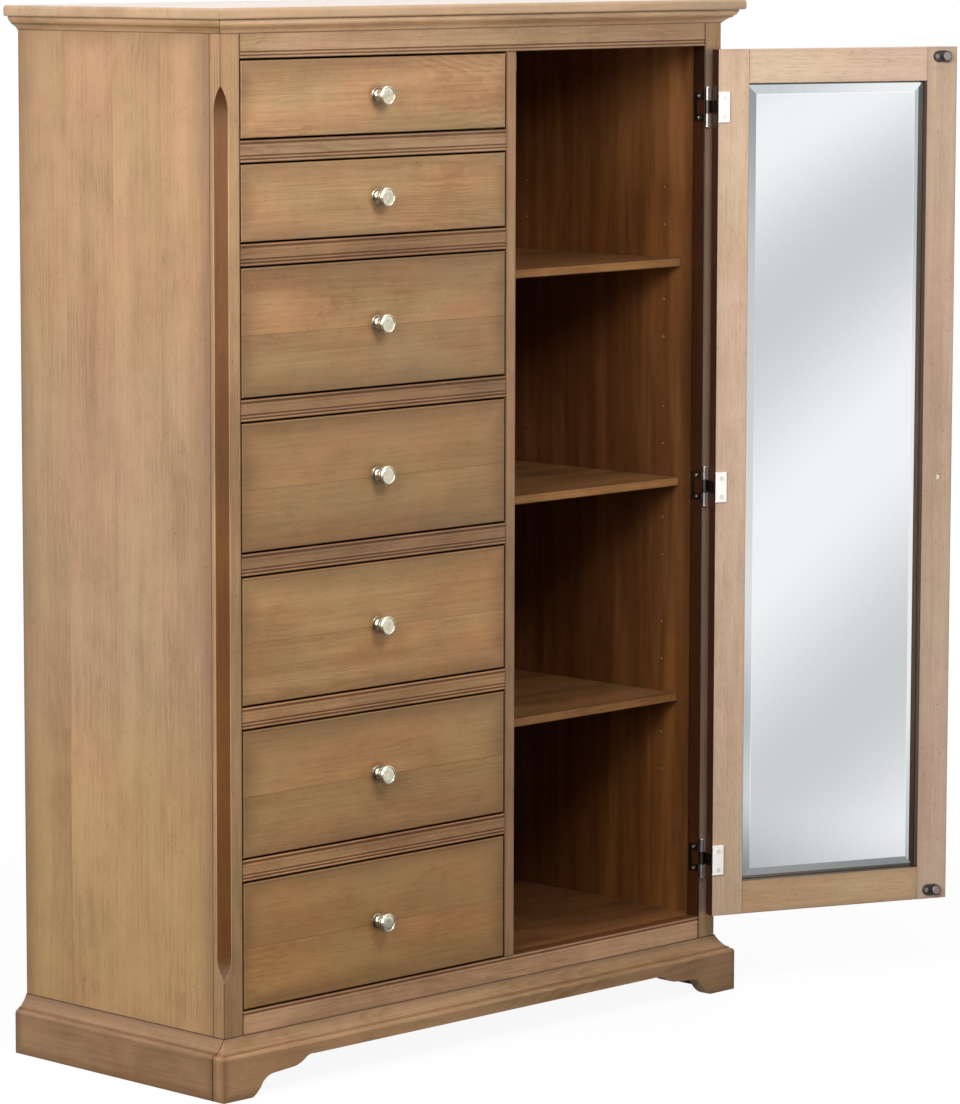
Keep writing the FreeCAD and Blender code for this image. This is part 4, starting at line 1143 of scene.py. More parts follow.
@dataclass(frozen=True)
class Knob:
    """A turned knob with a dished face, held by a screw from behind."""

    radius: float = 14.05 * MM
    length: float = 24.3 * MM
    screw_reach: float = 11.0 * MM
    screw: Screw = Screw(4.2 * MM, 2.4 * MM, 2.0 * MM, recess=0.55, slot=0.12, depth=0.45)
    groove_shares: tuple[float, ...] = (0.10, 0.42, 0.50, 0.645, 0.758)
    groove_width: float = 0.036
    dish_share: float = 0.76
    dish_width: float = 0.035
    face_share: float = 0.93
    dull_share: float = 0.6
    dull_face: float = 0.16

    def profile(self) -> np.ndarray:
        """Foot, beaded waist, flare, ring, rim and dished face, from the axis round to the axis.

        Returns:
            One row of radius and height for each point.
        """
        shares = (
            (0.0, 0.0),
            (0.77, 0.0),
            (0.77, 0.065),
            (0.70, 0.09, 0.62, 0.105),
            (0.46, 0.16, 0.41, 0.34),
            (0.50, 0.40, 0.40, 0.46),
            (0.39, 0.50),
            (0.47, 0.60, 0.84, 0.645),
            (0.79, 0.672),
            (0.97, 0.715, 0.84, 0.765),
            (0.83, 0.795),
            (0.99, 0.86, 0.92, 0.945),
            (0.88, 0.985, 0.80, 1.0),
            (0.74, 0.96),
            (0.56, 0.972, 0.34, 0.976),
            (0.0, 0.976),
        )
        return outline(shares, (self.radius, self.length))

    def shells(self, place: Sequence[float], back: float) -> list[Shell]:
        """The knob on a face that looks towards the front, and its screw.

        Args:
            place: where the knob's axis meets that face.
            back: Y of the face under the screw's head.

        Returns:
            Two shells.
        """
        body = placed(turned(self.profile()), TOWARDS_FRONT, place)
        long = replace(self.screw, length=back - place[1] + self.screw_reach)
        return [body, placed(long.shell(), TOWARDS_BACK, (place[0], back, place[2]))]

    def mark_hollows(
        self, piece: bpy.types.Object, place: Sequence[float], metal: Metal, open_door: bool
    ) -> None:
        """Say where patina gathers: in the grooves, in the step of the dish and a little on the foot.

        A groove is a bell curve of the share of the knob's length about the groove's own share; the
        dish's step is one of the share of its radius, on the face alone.

        Args:
            piece: the knob's mesh.
            place: where its axis meets the face.
            metal: the finish, which names the attribute.
            open_door: whether the knob belongs to the turned door.
        """
        points = points_of(piece, open_door)
        height = (place[1] - points[:, 1]) / self.length
        radius = np.hypot(points[:, 0] - place[0], points[:, 2] - place[2]) / self.radius
        grooves = sum(np.exp(-(((height - share) / self.groove_width) ** 2)) for share in self.groove_shares)
        face = height > self.face_share
        dish = np.exp(-(((radius - self.dish_share) / self.dish_width) ** 2)) * face
        middle = self.dull_face * (radius < self.dull_share) * face
        attribute = piece.data.attributes.new(metal.hollows, "FLOAT", "POINT")
        attribute.data.foreach_set("value", np.clip(grooves + 0.8 * dish + middle, 0, 1).astype(np.float32))


@dataclass(frozen=True)
class Mouldings:
    """Crown moulding under the top board, mitred at the front corners."""

    shares: tuple = (
        (0.0, 0.0),
        (0.04, 0.0),
        (0.27, 0.23, 0.60, 0.426),
        (0.663, 0.426),
        (0.663, 0.503),
        (0.874, 0.677, 1.0, 0.954),
        (1.0, 1.0),
        (0.0, 1.0),
    )
    steps: int = 14
    quirk_share: float = 0.465
    under_top_shade_tint: Colour = (0.30, 0.26, 0.20)
    quirk_shade_tint: Colour = (0.45, 0.36, 0.26)
    frieze_shade_tint: Colour = (0.42, 0.33, 0.24)
    mitre_seam_shade_tint: Colour = (0.25, 0.18, 0.13)

    def build(self) -> list[bpy.types.Object]:
        """Carry the crown's section along the front and both sides; its box gives reach and height.

        Returns:
            The three mouldings.
        """
        low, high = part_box("crown_front")
        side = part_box("side_right")[1].x
        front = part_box("post_left")[0].y
        section = outline(self.shares, (front - low.y, high.z - low.z), self.steps)
        out, up = section[:, 0], section[:, 1] + low.z
        corner = side + out
        ahead = front - out
        start = np.stack([-corner, ahead, up], axis=1)
        end = np.stack([corner, ahead, up], axis=1)
        made = [make_mesh("crown_front_moulding", [swept(start, end)])]
        ride(made[-1], "case", "case_wood", "crown_front")
        for name, sign in (("left", -1), ("right", 1)):
            start = np.stack([sign * corner, ahead, up], axis=1)
            end = np.stack([sign * corner, 0 * out, up], axis=1)
            made.append(make_mesh(f"crown_{name}_moulding", [swept(start, end)]))
            ride(made[-1], "case", "case_wood", f"crown_{name}")
        return made

    def dress(self, pieces: Sequence[bpy.types.Object]) -> None:
        """Dark lines of painted shade under the top board, in the quirk and over the frieze, and a painted
        shadow in the seams at the mitres.

        Args:
            pieces: the mouldings to dress.
        """
        low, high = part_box("crown_front")
        quirk = low.z + self.quirk_share * (high.z - low.z)
        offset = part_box("side_right")[1].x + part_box("post_left")[0].y
        # Painted shade in the moulding's creases and painted shadow in its mitre seams.
        lines = [
            StainAndPaintedLight((Line(Axis.Z, high.z, 1.6 * MM),), self.under_top_shade_tint),
            StainAndPaintedLight((Line(Axis.Z, quirk, 1.5 * MM),), self.quirk_shade_tint),
            StainAndPaintedLight((Span(Axis.Z, low.z + 2.2 * MM, low.z + 0.2 * MM),), self.frieze_shade_tint),
            StainAndPaintedLight((Mitre(-1, offset, 1.2 * MM),), self.mitre_seam_shade_tint),
            StainAndPaintedLight((Mitre(1, offset, 1.2 * MM),), self.mitre_seam_shade_tint),
        ]
        for piece in pieces:
            front = "front" in piece.name
            wood = CROWN_FRONT_LIT_WOOD if front else CROWN_SIDE_LIT_WOOD
            wood.dress(piece, Axis.X if front else Axis.Y, None, lines)


@dataclass(frozen=True)
class Case:
    """Sides, posts, rails, top, plinth and what is inside."""

    inner_shade_tint: Colour = (0.30, 0.205, 0.150)
    wall_shade_tint: Colour = (0.435, 0.268, 0.142)
    streak_tint: Colour = (0.60, 0.53, 0.48)
    groove_shade_tint: Colour = (0.48, 0.35, 0.24)
    recess_shade_tint: Colour = (0.45, 0.38, 0.32)
    joint_and_shade_tint: Colour = (0.20, 0.12, 0.08)
    chamfer_tint: Colour = (0.33, 0.190, 0.037)
    tip_tint: Colour = (0.46, 0.40, 0.34)
    rub_and_highlight_tint: Colour = (1.30, 1.32, 1.34)
    hinge_post_tint: Colour = (0.58, 0.64, 0.86)
    shelf_edge_light_tint: Colour = (1.9, 2.0, 2.1)
    chamfer_leg: float = 14.6 * MM
    chamfer_end: float = 88.0 * MM
    chamfer_tip: float = 60.0 * MM
    chamfer_fade: float = 10.0 * MM
    line_fade: float = 45.0 * MM
    line_inset: float = 0.3 * MM
    skin: float = 0.8 * MM
    post_joint_and_gap_half: float = 2.0 * MM
    hinge_fade: float = 4.0 * MM
    foot_board: float = 30.0 * MM
    foot_board_fade: float = 6.0 * MM
    base_joint_half: float = 1.3 * MM
    side_board: float = 98.0 * MM
    top_board: float = 112.0 * MM
    top_first: float = -4.0 * MM
    back_board: float = 78.0 * MM
    back_first: float = -498.0 * MM
    partition_board: float = 105.0 * MM
    floor_board: float = 100.0 * MM
    shelf_board: float = 115.0 * MM
    waist_heights: tuple[float, float] = (1.12, 0.92)
    waist_tint: Colour = (0.92, 0.955, 1.02)
    foot_heights: tuple[float, float] = (0.60, 0.38)
    foot_tint: Colour = (1.03, 1.00, 0.80)
    upper_rails: tuple[float, float] = (1.20, 1.26)
    upper_rail_tint: Colour = (1.22, 1.36, 1.55)
    lower_rails: tuple[float, float] = (0.66, 0.60)
    lower_rail_tint: Colour = (1.45, 1.43, 1.34)
    head_heights: tuple[float, float] = (1.18, 1.32)
    head_light_tint: Colour = (1.24, 1.36, 1.55)

    def dress(self) -> None:
        """Give every fixed wooden node its cut of wood."""
        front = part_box("post_left")[0].y
        self.dress_sides()
        self.dress_posts(front)
        self.dress_rails(front)
        self.dress_top()
        self.dress_plinth(front)
        self.dress_inside()

    def dress_sides(self) -> None:
        """Side panels of upright boards; their inner faces are painted dark as shade inside the case,
        streaked, and painted lighter near the top.
        """
        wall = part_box("side_right")[0].x
        for name, sign in (("side_left", -1), ("side_right", 1)):
            inner = Span(Axis.X, sign * (wall + 1.5 * self.skin), sign * (wall + 0.5 * self.skin))
            tints = [
                StainAndPaintedLight((Span(Axis.Z, *self.waist_heights),), self.waist_tint),
                StainAndPaintedLight((Span(Axis.Z, *self.foot_heights),), self.foot_tint),
                # Painted shade on the inner faces, stain streaks on them, and painted light near the top
                # inside.
                StainAndPaintedLight((inner,), self.wall_shade_tint),
                StainAndPaintedLight((inner, Streaks()), self.streak_tint),
                StainAndPaintedLight((inner, Span(Axis.Z, *self.head_heights)), self.head_light_tint),
            ]
            boards = Boards(Axis.Y, self.side_board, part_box(name)[0].y)
            SIDE_WOOD.dress(node(name), Axis.Z, SIDE_GLAZE, tints, boards)

    def dress_posts(self, front: float) -> None:
        """Posts with a dark stopped chamfer, pale lines beside it that are painted highlights with rubbing,
        painted shade on the inner and rear faces and on the face by the hinges, and a dark line at the inner
        front edge.

        Args:
            front: Y of the posts' front faces.
        """
        for name, sign in (("post_left", -1), ("post_right", 1)):
            low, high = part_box(name)
            outer = max(abs(low.x), abs(high.x))
            clear = min(abs(low.x), abs(high.x))
            inner = Span(Axis.X, sign * (clear + self.skin), sign * (clear + 0.2 * self.skin))
            rear = Span(Axis.Y, high.y - self.skin, high.y - 0.2 * self.skin)
            cut = (
                Span(Axis.X, sign * (outer - 0.1 * MM), sign * (outer - self.skin)),
                Span(Axis.Y, front + 0.1 * MM, front + self.skin),
            )
            chamfer_top = high.z - self.chamfer_end
            tip = Span(Axis.Z, chamfer_top - self.chamfer_tip, chamfer_top - self.chamfer_fade)
            on_front = Span(Axis.Y, front + 2 * self.skin, front + self.skin)
            # The dark line at the post's inner front edge: the joint with the rails, and painted shadow of
            # the gap beside the drawers.
            joint = Line(Axis.X, sign * clear, self.post_joint_and_gap_half)
            tints = [
                StainAndPaintedLight(cut, self.chamfer_tint),
                StainAndPaintedLight((*cut, tip), self.tip_tint),
                # Painted shade on the post's faces inside the case and at its back.
                StainAndPaintedLight((inner,), self.inner_shade_tint),
                StainAndPaintedLight((rear,), self.inner_shade_tint),
                *self.chamfer_highlights(sign, outer, front, low.z, high.z),
            ]
            if sign > 0:
                stile_low, stile_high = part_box("door_hinge_stile")
                shaded = (
                    Span(Axis.Y, front + self.skin, front + 0.2 * self.skin),
                    Span(Axis.Z, stile_low.z - self.hinge_fade, stile_low.z + self.hinge_fade),
                    Span(Axis.Z, stile_high.z + self.hinge_fade, stile_high.z - self.hinge_fade),
                )
                tints.append(StainAndPaintedLight(shaded, self.hinge_post_tint))
            tints.append(StainAndPaintedLight((joint, on_front), self.joint_and_shade_tint))
            POST_WOOD.dress(node(name), Axis.Z, POST_GLAZE, tints)

    def chamfer_highlights(self, sign: int, outer: float, front: float, foot: float, top: float) -> list[StainAndPaintedLight]:
        """Pale lines along the two long edges of a post's chamfer: painted highlights where the edges catch
        the light, and rubbing.

        Args:
            sign: the side that the post stands on.
            outer: how far out its outer face is.
            front: Y of its front face.
            foot: its foot's height.
            top: its top's height.

        Returns:
            One tint for the front face and one for the outer face.
        """
        start = foot + self.chamfer_end + self.chamfer_tip
        end = top - self.chamfer_end - self.line_fade
        length = (Span(Axis.Z, start, start + self.line_fade), Span(Axis.Z, end, end - self.line_fade))
        edge_x = sign * (outer - self.chamfer_leg + self.line_inset)
        edge_y = front + self.chamfer_leg - self.line_inset
        on_front = Span(Axis.Y, front + 2 * self.skin, front + self.skin)
        on_side = Span(Axis.X, sign * (outer - 2 * self.skin), sign * (outer - self.skin))
        return [
            StainAndPaintedLight((Line(Axis.X, edge_x), on_front, *length), self.rub_and_highlight_tint),
            StainAndPaintedLight((Line(Axis.Y, edge_y), on_side, *length), self.rub_and_highlight_tint),
        ]

    def dress_rails(self, front: float) -> None:
        """Rails with level grain and grooves darkened with painted shade, as are the faces set back in the
        gaps; the stile stands between them.

        Args:
            front: Y of the posts' front faces.
        """
        # Painted shade in the grooves, and deeper painted shade on the faces set back in the gaps round the
        # drawers.
        grooves = [
            StainAndPaintedLight((Span(Axis.Y, front + 0.6 * MM, front + 1.3 * MM),), self.groove_shade_tint),
            StainAndPaintedLight((Span(Axis.Y, front + 1.8 * MM, front + 3.0 * MM),), self.recess_shade_tint),
        ]
        uneven = [
            StainAndPaintedLight((Span(Axis.Z, *self.upper_rails),), self.upper_rail_tint),
            StainAndPaintedLight((Span(Axis.Z, *self.lower_rails),), self.lower_rail_tint),
        ]
        TOP_RAIL_WOOD.dress(node("top_rail"), Axis.X, TOP_RAIL_GLAZE, grooves)
        RAIL_WOOD.dress(node("drawer_rails"), Axis.X, RAIL_GLAZE, [*grooves, *uneven])
        BOTTOM_RAIL_WOOD.dress(node("bottom_rail"), Axis.X, RAIL_GLAZE, grooves)
        MID_STILE_WOOD.dress(node("mid_stile"), Axis.Z, STILE_GLAZE, grooves)

    def dress_top(self) -> None:
        """The top board, glued up from four, glossier than the rest."""
        boards = Boards(Axis.Y, self.top_board, self.top_first)
        TOP_WOOD.dress(node("top_board"), Axis.X, TOP_GLAZE, (), boards)

    def dress_plinth(self, front: float) -> None:
        """Base boards, darker than the case above, with dark lines at their joints and a painted shade under
        the rail.

        Args:
            front: Y of the posts' front faces.
        """
        low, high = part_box("base_front")
        joint = Line(Axis.Y, high.y, self.base_joint_half)
        inner, outer = self.foot_board, self.foot_board - self.foot_board_fade
        # Painted shade on the base front's top edge where it runs under the rail.
        under_rail_shade = (
            Span(Axis.Z, high.z - 2.0 * MM, high.z - 0.3 * MM),
            Span(Axis.Y, front - 4 * MM, front - 1 * MM),
        )
        # Dark joint lines between the base boards, and the painted shade under the rail.
        joints = [
            StainAndPaintedLight((joint, Span(Axis.X, high.x - inner, high.x - outer)), self.joint_and_shade_tint),
            StainAndPaintedLight((joint, Span(Axis.X, low.x + inner, low.x + outer)), self.joint_and_shade_tint),
            StainAndPaintedLight(under_rail_shade, self.joint_and_shade_tint),
        ]
        BASE_WOOD.dress(node("base_front"), Axis.X, BASE_GLAZE, joints)
        for name in ("base_left", "base_right"):
            BASE_SIDE_WOOD.dress(node(name), Axis.Y, BASE_GLAZE, joints)

    def dress_inside(self) -> None:
        """Back, floor, partition, runners and shelves in the dark inner wood, its darkness painted shade of
        the deep inside; the back is painted lighter near the top and the shelves' front edges are painted
        lit.
        """
        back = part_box("back_panel")[0].y
        inner = Span(Axis.Y, back + 2 * self.skin, back + self.skin)
        # Painted light on the back panel near the top.
        painted_top_light = [StainAndPaintedLight((inner, Span(Axis.Z, *self.head_heights)), self.head_light_tint)]
        panel = Boards(Axis.X, self.back_board, self.back_first)
        INNER_SHADE_WOOD.dress(node("back_panel"), Axis.Z, None, painted_top_light, panel)
        INNER_SHADE_WOOD.dress(node("partition"), Axis.Z, boards=Boards(Axis.Y, self.partition_board))
        for name in ("case_bottom", "base_back"):
            FLOOR_SHADE_WOOD.dress(node(name), Axis.X, boards=Boards(Axis.Y, self.floor_board))
        for name in ("drawer_runners", "drawer_guides"):
            BOX_WOOD.dress(node(name), Axis.Y)
        for name in ("shelf_upper", "shelf_middle", "shelf_lower"):
            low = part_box(name)[0]
            # The shelves' front edges are painted lighter, as lit edges against their shaded tops.
            edge = StainAndPaintedLight((Span(Axis.Y, low.y + 1.0 * MM, low.y + 0.2 * MM),), self.shelf_edge_light_tint)
            SHELF_SHADE_WOOD.dress(node(name), Axis.X, SHELF_GLAZE, [edge], Boards(Axis.Y, self.shelf_board))
        PEG_STEEL.dress(node("shelf_supports"))
        HINGE_STEEL.dress(node("catch_strikes"))


@dataclass(frozen=True)
class Drawer:
    """One drawer: its front, its box and its knob."""

    number: int
    edge_shade_tint: Colour = (0.42, 0.33, 0.26)
    knob_shadow_tint: Colour = (0.66, 0.56, 0.46)
    knob_shadow_radii: tuple[float, float] = (9.0 * MM, 21.0 * MM)
    two_board_height: float = 150.0 * MM
    seam_drop: float = 0.02
    tones: tuple[float, ...] = (1.0, 1.0, 0.82, 0.92, 1.08, 1.03, 1.15)
    upper_tint: Colour = (0.92, 0.98, 1.07)
    painted_shade_below: Colour = (0.06, 0.16, 0.37)

    def dress(self) -> None:
        """Glaze the front towards its edges, paint shade on its edge faces and a shadow round its knob, and
        give the box its pale wood.

        A tall front is glued up from two boards, a low one is one board.
        """
        front = node(f"drawer_{self.number}_front")
        low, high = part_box(front.name)
        x, _, z = self.knob_place()
        # Painted shade on the front's edge faces in the gaps, and a painted shadow round the knob's foot.
        tints = [
            StainAndPaintedLight((Span(Axis.Y, low.y + 1.2 * MM, low.y + 4 * MM),), self.edge_shade_tint),
            StainAndPaintedLight((Halo(x, z, *self.knob_shadow_radii),), self.knob_shadow_tint),
        ]
        tall = high.z - low.z
        halves = Boards(Axis.Z, tall / 2, low.z - self.seam_drop * tall)
        boards = halves if tall > self.two_board_height else None
        # Painted shade: lower fronts are darker and more saturated, as the light falls off below.
        share = (self.number - 1) / (len(self.tones) - 1)
        tint = np.subtract(self.upper_tint, np.multiply(self.painted_shade_below, share))
        wood = FRONT_WOOD.toned(*(self.tones[self.number - 1] * tint))
        wood.dress(front, Axis.X, FRONT_GLAZE, tints, boards)
        BOX_WOOD.dress(node(f"drawer_{self.number}_box"), Axis.Y)

    def knob_place(self) -> tuple[float, float, float]:
        """Where the knob's axis meets the front's face."""
        low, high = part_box(f"knob_{self.number}")
        return (low.x + high.x) / 2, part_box(f"drawer_{self.number}_front")[0].y, (low.z + high.z) / 2

    def build_knob(self, knob: Knob) -> bpy.types.Object:
        """The knob at the middle of its node, on the front's face.

        Args:
            knob: the knob to turn.

        Returns:
            The knob's mesh.
        """
        name = f"knob_{self.number}"
        place = self.knob_place()
        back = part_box(f"drawer_{self.number}_front")[1].y
        piece = make_mesh(f"turned_{name}", knob.shells(place, back))
        ride(piece, f"drawer_{self.number}", "satin_nickel", name)
        knob.mark_hollows(piece, place, NICKEL, False)
        NICKEL.dress(piece)
        return piece


@dataclass(frozen=True)
class Door:
    """The framed door with its mirror, knob, catches and hinges."""

    catch_radius: float = 8.5 * MM
    catch_base: float = 3.0 * MM
    catch_tail: float = 11.5 * MM
    catch_screw_line: float = 14.5 * MM
    boss_radius: float = 7.8 * MM
    boss_height: float = 8.6 * MM
    magnet_radius: float = 6.2 * MM
    magnet_proud: float = 0.4 * MM
    screw_sink: float = 3.0 * MM
    housing_round: float = 0.9 * MM
    housing_turns: int = 72
    boss_turns: int = 48
    leaf_screw_spacing: float = 32.2 * MM
    cover_half: float = 22.5 * MM
    panel_board: float = 105.0 * MM
    skin: float = 0.8 * MM
    cap_depth: float = 23.4 * MM
    cap_blend: float = 0.4 * MM
    barrel_proud: float = 0.8 * MM
    barrel_tint: Colour = (0.36, 0.34, 0.31)
    outer_tint: Colour = (0.80, 0.68, 0.55)
    edge_shade_tint: Colour = (0.085, 0.040, 0.028)
    rebate_shade_tint: Colour = (0.12, 0.088, 0.062)

    def dress(self) -> None:
        """Frame and panel; the edge at the hinges and the rebate round the mirror are dark with painted
        shade.
        """
        low, high = box_of(node("door_hinge_stile"), True)
        face = float(low[1])
        common = [
            StainAndPaintedLight((Span(Axis.Y, face + 2 * self.skin, face + self.skin),), self.outer_tint),
            # Painted shade on the door's edge at the hinges.
            StainAndPaintedLight((Span(Axis.X, high[0] - 1.5 * self.skin, high[0] - 0.5 * self.skin),), self.edge_shade_tint),
        ]
        for name, wood, grain, side in (
            ("door_free_stile", FREE_STILE_WOOD, Axis.Z, -1),
            ("door_hinge_stile", DOOR_WOOD, Axis.Z, 1),
            ("door_bottom_rail", DOOR_SILL_WOOD, Axis.X, -1),
            ("door_top_rail", DOOR_WOOD, Axis.X, 1),
        ):
            across = Axis.X if grain is Axis.Z else Axis.Z
            sight = box_of(node(name), True)[0 if side > 0 else 1][across.value]
            step = side * self.skin
            # Painted shadow on the frame's rebate round the mirror.
            rebate = StainAndPaintedLight((Span(across, sight + step, sight + 0.2 * step),), self.rebate_shade_tint)
            wood.dress(node(name), grain, DOOR_GLAZE, [*common, rebate], open_door=True)
        boards = Boards(Axis.X, self.panel_board)
        CASE_WOOD.dress(node("door_panel"), Axis.Z, boards=boards, open_door=True)
        SILVER.dress(node("door_mirror"))
        CREAM.dress(node("hinge_covers"))
        cap = face + self.cap_depth
        DARK_STEEL.dress(node("hinge_door_leaves"), Span(Axis.Y, cap, cap + self.cap_blend), True)
        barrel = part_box("hinge_pins")[1].y + self.barrel_proud
        worn = replace(DARK_STEEL, second_tint=self.barrel_tint, second_metallic=1.0)
        worn.dress(node("hinge_case_leaves"), Span(Axis.Y, barrel + self.cap_blend, barrel))
        PIN_STEEL.dress(node("hinge_pins"))

    def build_knob(self, knob: Knob) -> bpy.types.Object:
        """The knob on the door's outer face; its screw's head is sunk below the inner face.

        Args:
            knob: the knob to turn.

        Returns:
            The knob's mesh.
        """
        low, high = box_of(node("door_knob"), True)
        face, inner = (corner[1] for corner in box_of(node("door_free_stile"), True))
        place = ((low[0] + high[0]) / 2, face, (low[2] + high[2]) / 2)
        shells = [opened(shell) for shell in knob.shells(place, inner - self.screw_sink)]
        piece = ride(make_mesh("turned_door_knob", shells), "door", "satin_nickel", "door_knob")
        knob.mark_hollows(piece, place, NICKEL, True)
        NICKEL.dress(piece)
        return piece

    def catch_places(self) -> tuple[float, float, list[float]]:
        """Where the magnets are on the closed door.

        Returns:
            Their X, Y of the door's inner face, and the height of each.
        """
        low, high = box_of(node("door_catches"), True)
        inner = box_of(node("door_free_stile"), True)[1][1]
        heights = [low[2] + self.catch_radius, high[2] - self.catch_radius]
        return low[0] + self.catch_radius, inner, heights

    def catch_housing(self) -> Shell:
        """The catch's base: an oval whose outline is a circle with its far half moved along X.

        At the angle t the outline is r cos t, plus the tail's length where cos t is positive, and
        r sin t. Layers of that outline, drawn in by the rounding, are stacked from the door outwards.

        Returns:
            Points and faces.
        """
        angle = np.linspace(0, math.tau, self.housing_turns, endpoint=False)
        quarter = np.linspace(0, math.pi / 2, 6)
        drawn_in = self.catch_radius - self.housing_round * (1 - np.cos(quarter))
        risen = self.catch_base - self.housing_round * (1 - np.sin(quarter))
        radius = np.concatenate([[0, self.catch_radius], drawn_in, [0]])[:, None]
        height = np.concatenate([[0, 0], risen, [self.catch_base]])
        shift = np.where(np.cos(angle) > 0, self.catch_tail, 0.0)
        across = radius * np.cos(angle) + np.where(radius > 0, shift, self.catch_tail / 2)
        layers = [across, radius * np.sin(angle), height[:, None] + 0 * angle]
        return np.stack(layers, axis=2).reshape(-1, 3), grid_faces(len(height), len(angle), closed=True)

    def build_catches(self) -> None:
        """Two oval catches with a round housing, a steel disc and a screw each."""
        magnet_x, inner, heights = self.catch_places()
        well = ((0.81, 1.0), (0.81, 0.94), (0.0, 0.94))
        wall = ((0.0, 0.2), (1.0, 0.2), (1.0, 0.92), (0.98, 0.98, 0.93, 1.0))
        boss = turned(outline((*wall, *well), (self.boss_radius, self.boss_height), 5), self.boss_turns)
        disc = np.array([(0, -3 * MM), (1, -3 * MM), (1, -0.2 * MM), (0.96, 0), (0, 0)], dtype=float)
        disc = disc * (self.magnet_radius, 1) + (0, self.boss_height + self.magnet_proud)
        plastic, metal = [], []
        for height in heights:
            place = (magnet_x, inner, height)
            plastic += [placed(shell, TOWARDS_BACK, place) for shell in (self.catch_housing(), boss)]
            metal.append(placed(turned(disc, self.boss_turns), TOWARDS_BACK, place))
            screw = (magnet_x + self.catch_screw_line, inner + self.catch_base, height)
            metal.append(placed(Screw().shell(), TOWARDS_BACK, screw))
        housings = make_mesh("catch_housings", [opened(shell) for shell in plastic])
        BLACK.dress(ride(housings, "door", "dark_plastic", "door_catches"))
        fittings = make_mesh("catch_magnets", [opened(shell) for shell in metal])
        CATCH_STEEL.dress(ride(fittings, "door", "hinge_steel"))

    def build_hinge_screws(self) -> None:
        """Screws with cross recesses in the case leaves."""
        low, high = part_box("hinge_case_screws")
        centre_y = (low.y + high.y) / 2
        screw = Screw()
        shells = []
        for height in self.hinge_heights():
            for side in (-1, 1):
                place = (low.x + screw.head_height, centre_y, height + side * self.leaf_screw_spacing / 2)
                shells.append(placed(screw.shell(), TOWARDS_LEFT, place))
        piece = make_mesh("cross_screws", shells)
        HINGE_STEEL.dress(ride(piece, "case", "hinge_steel", "hinge_case_screws"))

    def hinge_heights(self) -> list[float]:
        """Heights of the hinges' middles, from the covers' places.

        Returns:
            Three heights, the lowest first.
        """
        low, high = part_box("hinge_covers")
        lowest, highest = low.z + self.cover_half, high.z - self.cover_half
        return [lowest, (lowest + highest) / 2, highest]


@dataclass(frozen=True)
class Lamp:
    """A square soft lamp: where it hangs, what it points at, its width in metres and its watts."""

    name: str
    place: tuple[float, float, float]
    aim: tuple[float, float, float]
    size: float
    power: float
    mirrored: bool = True


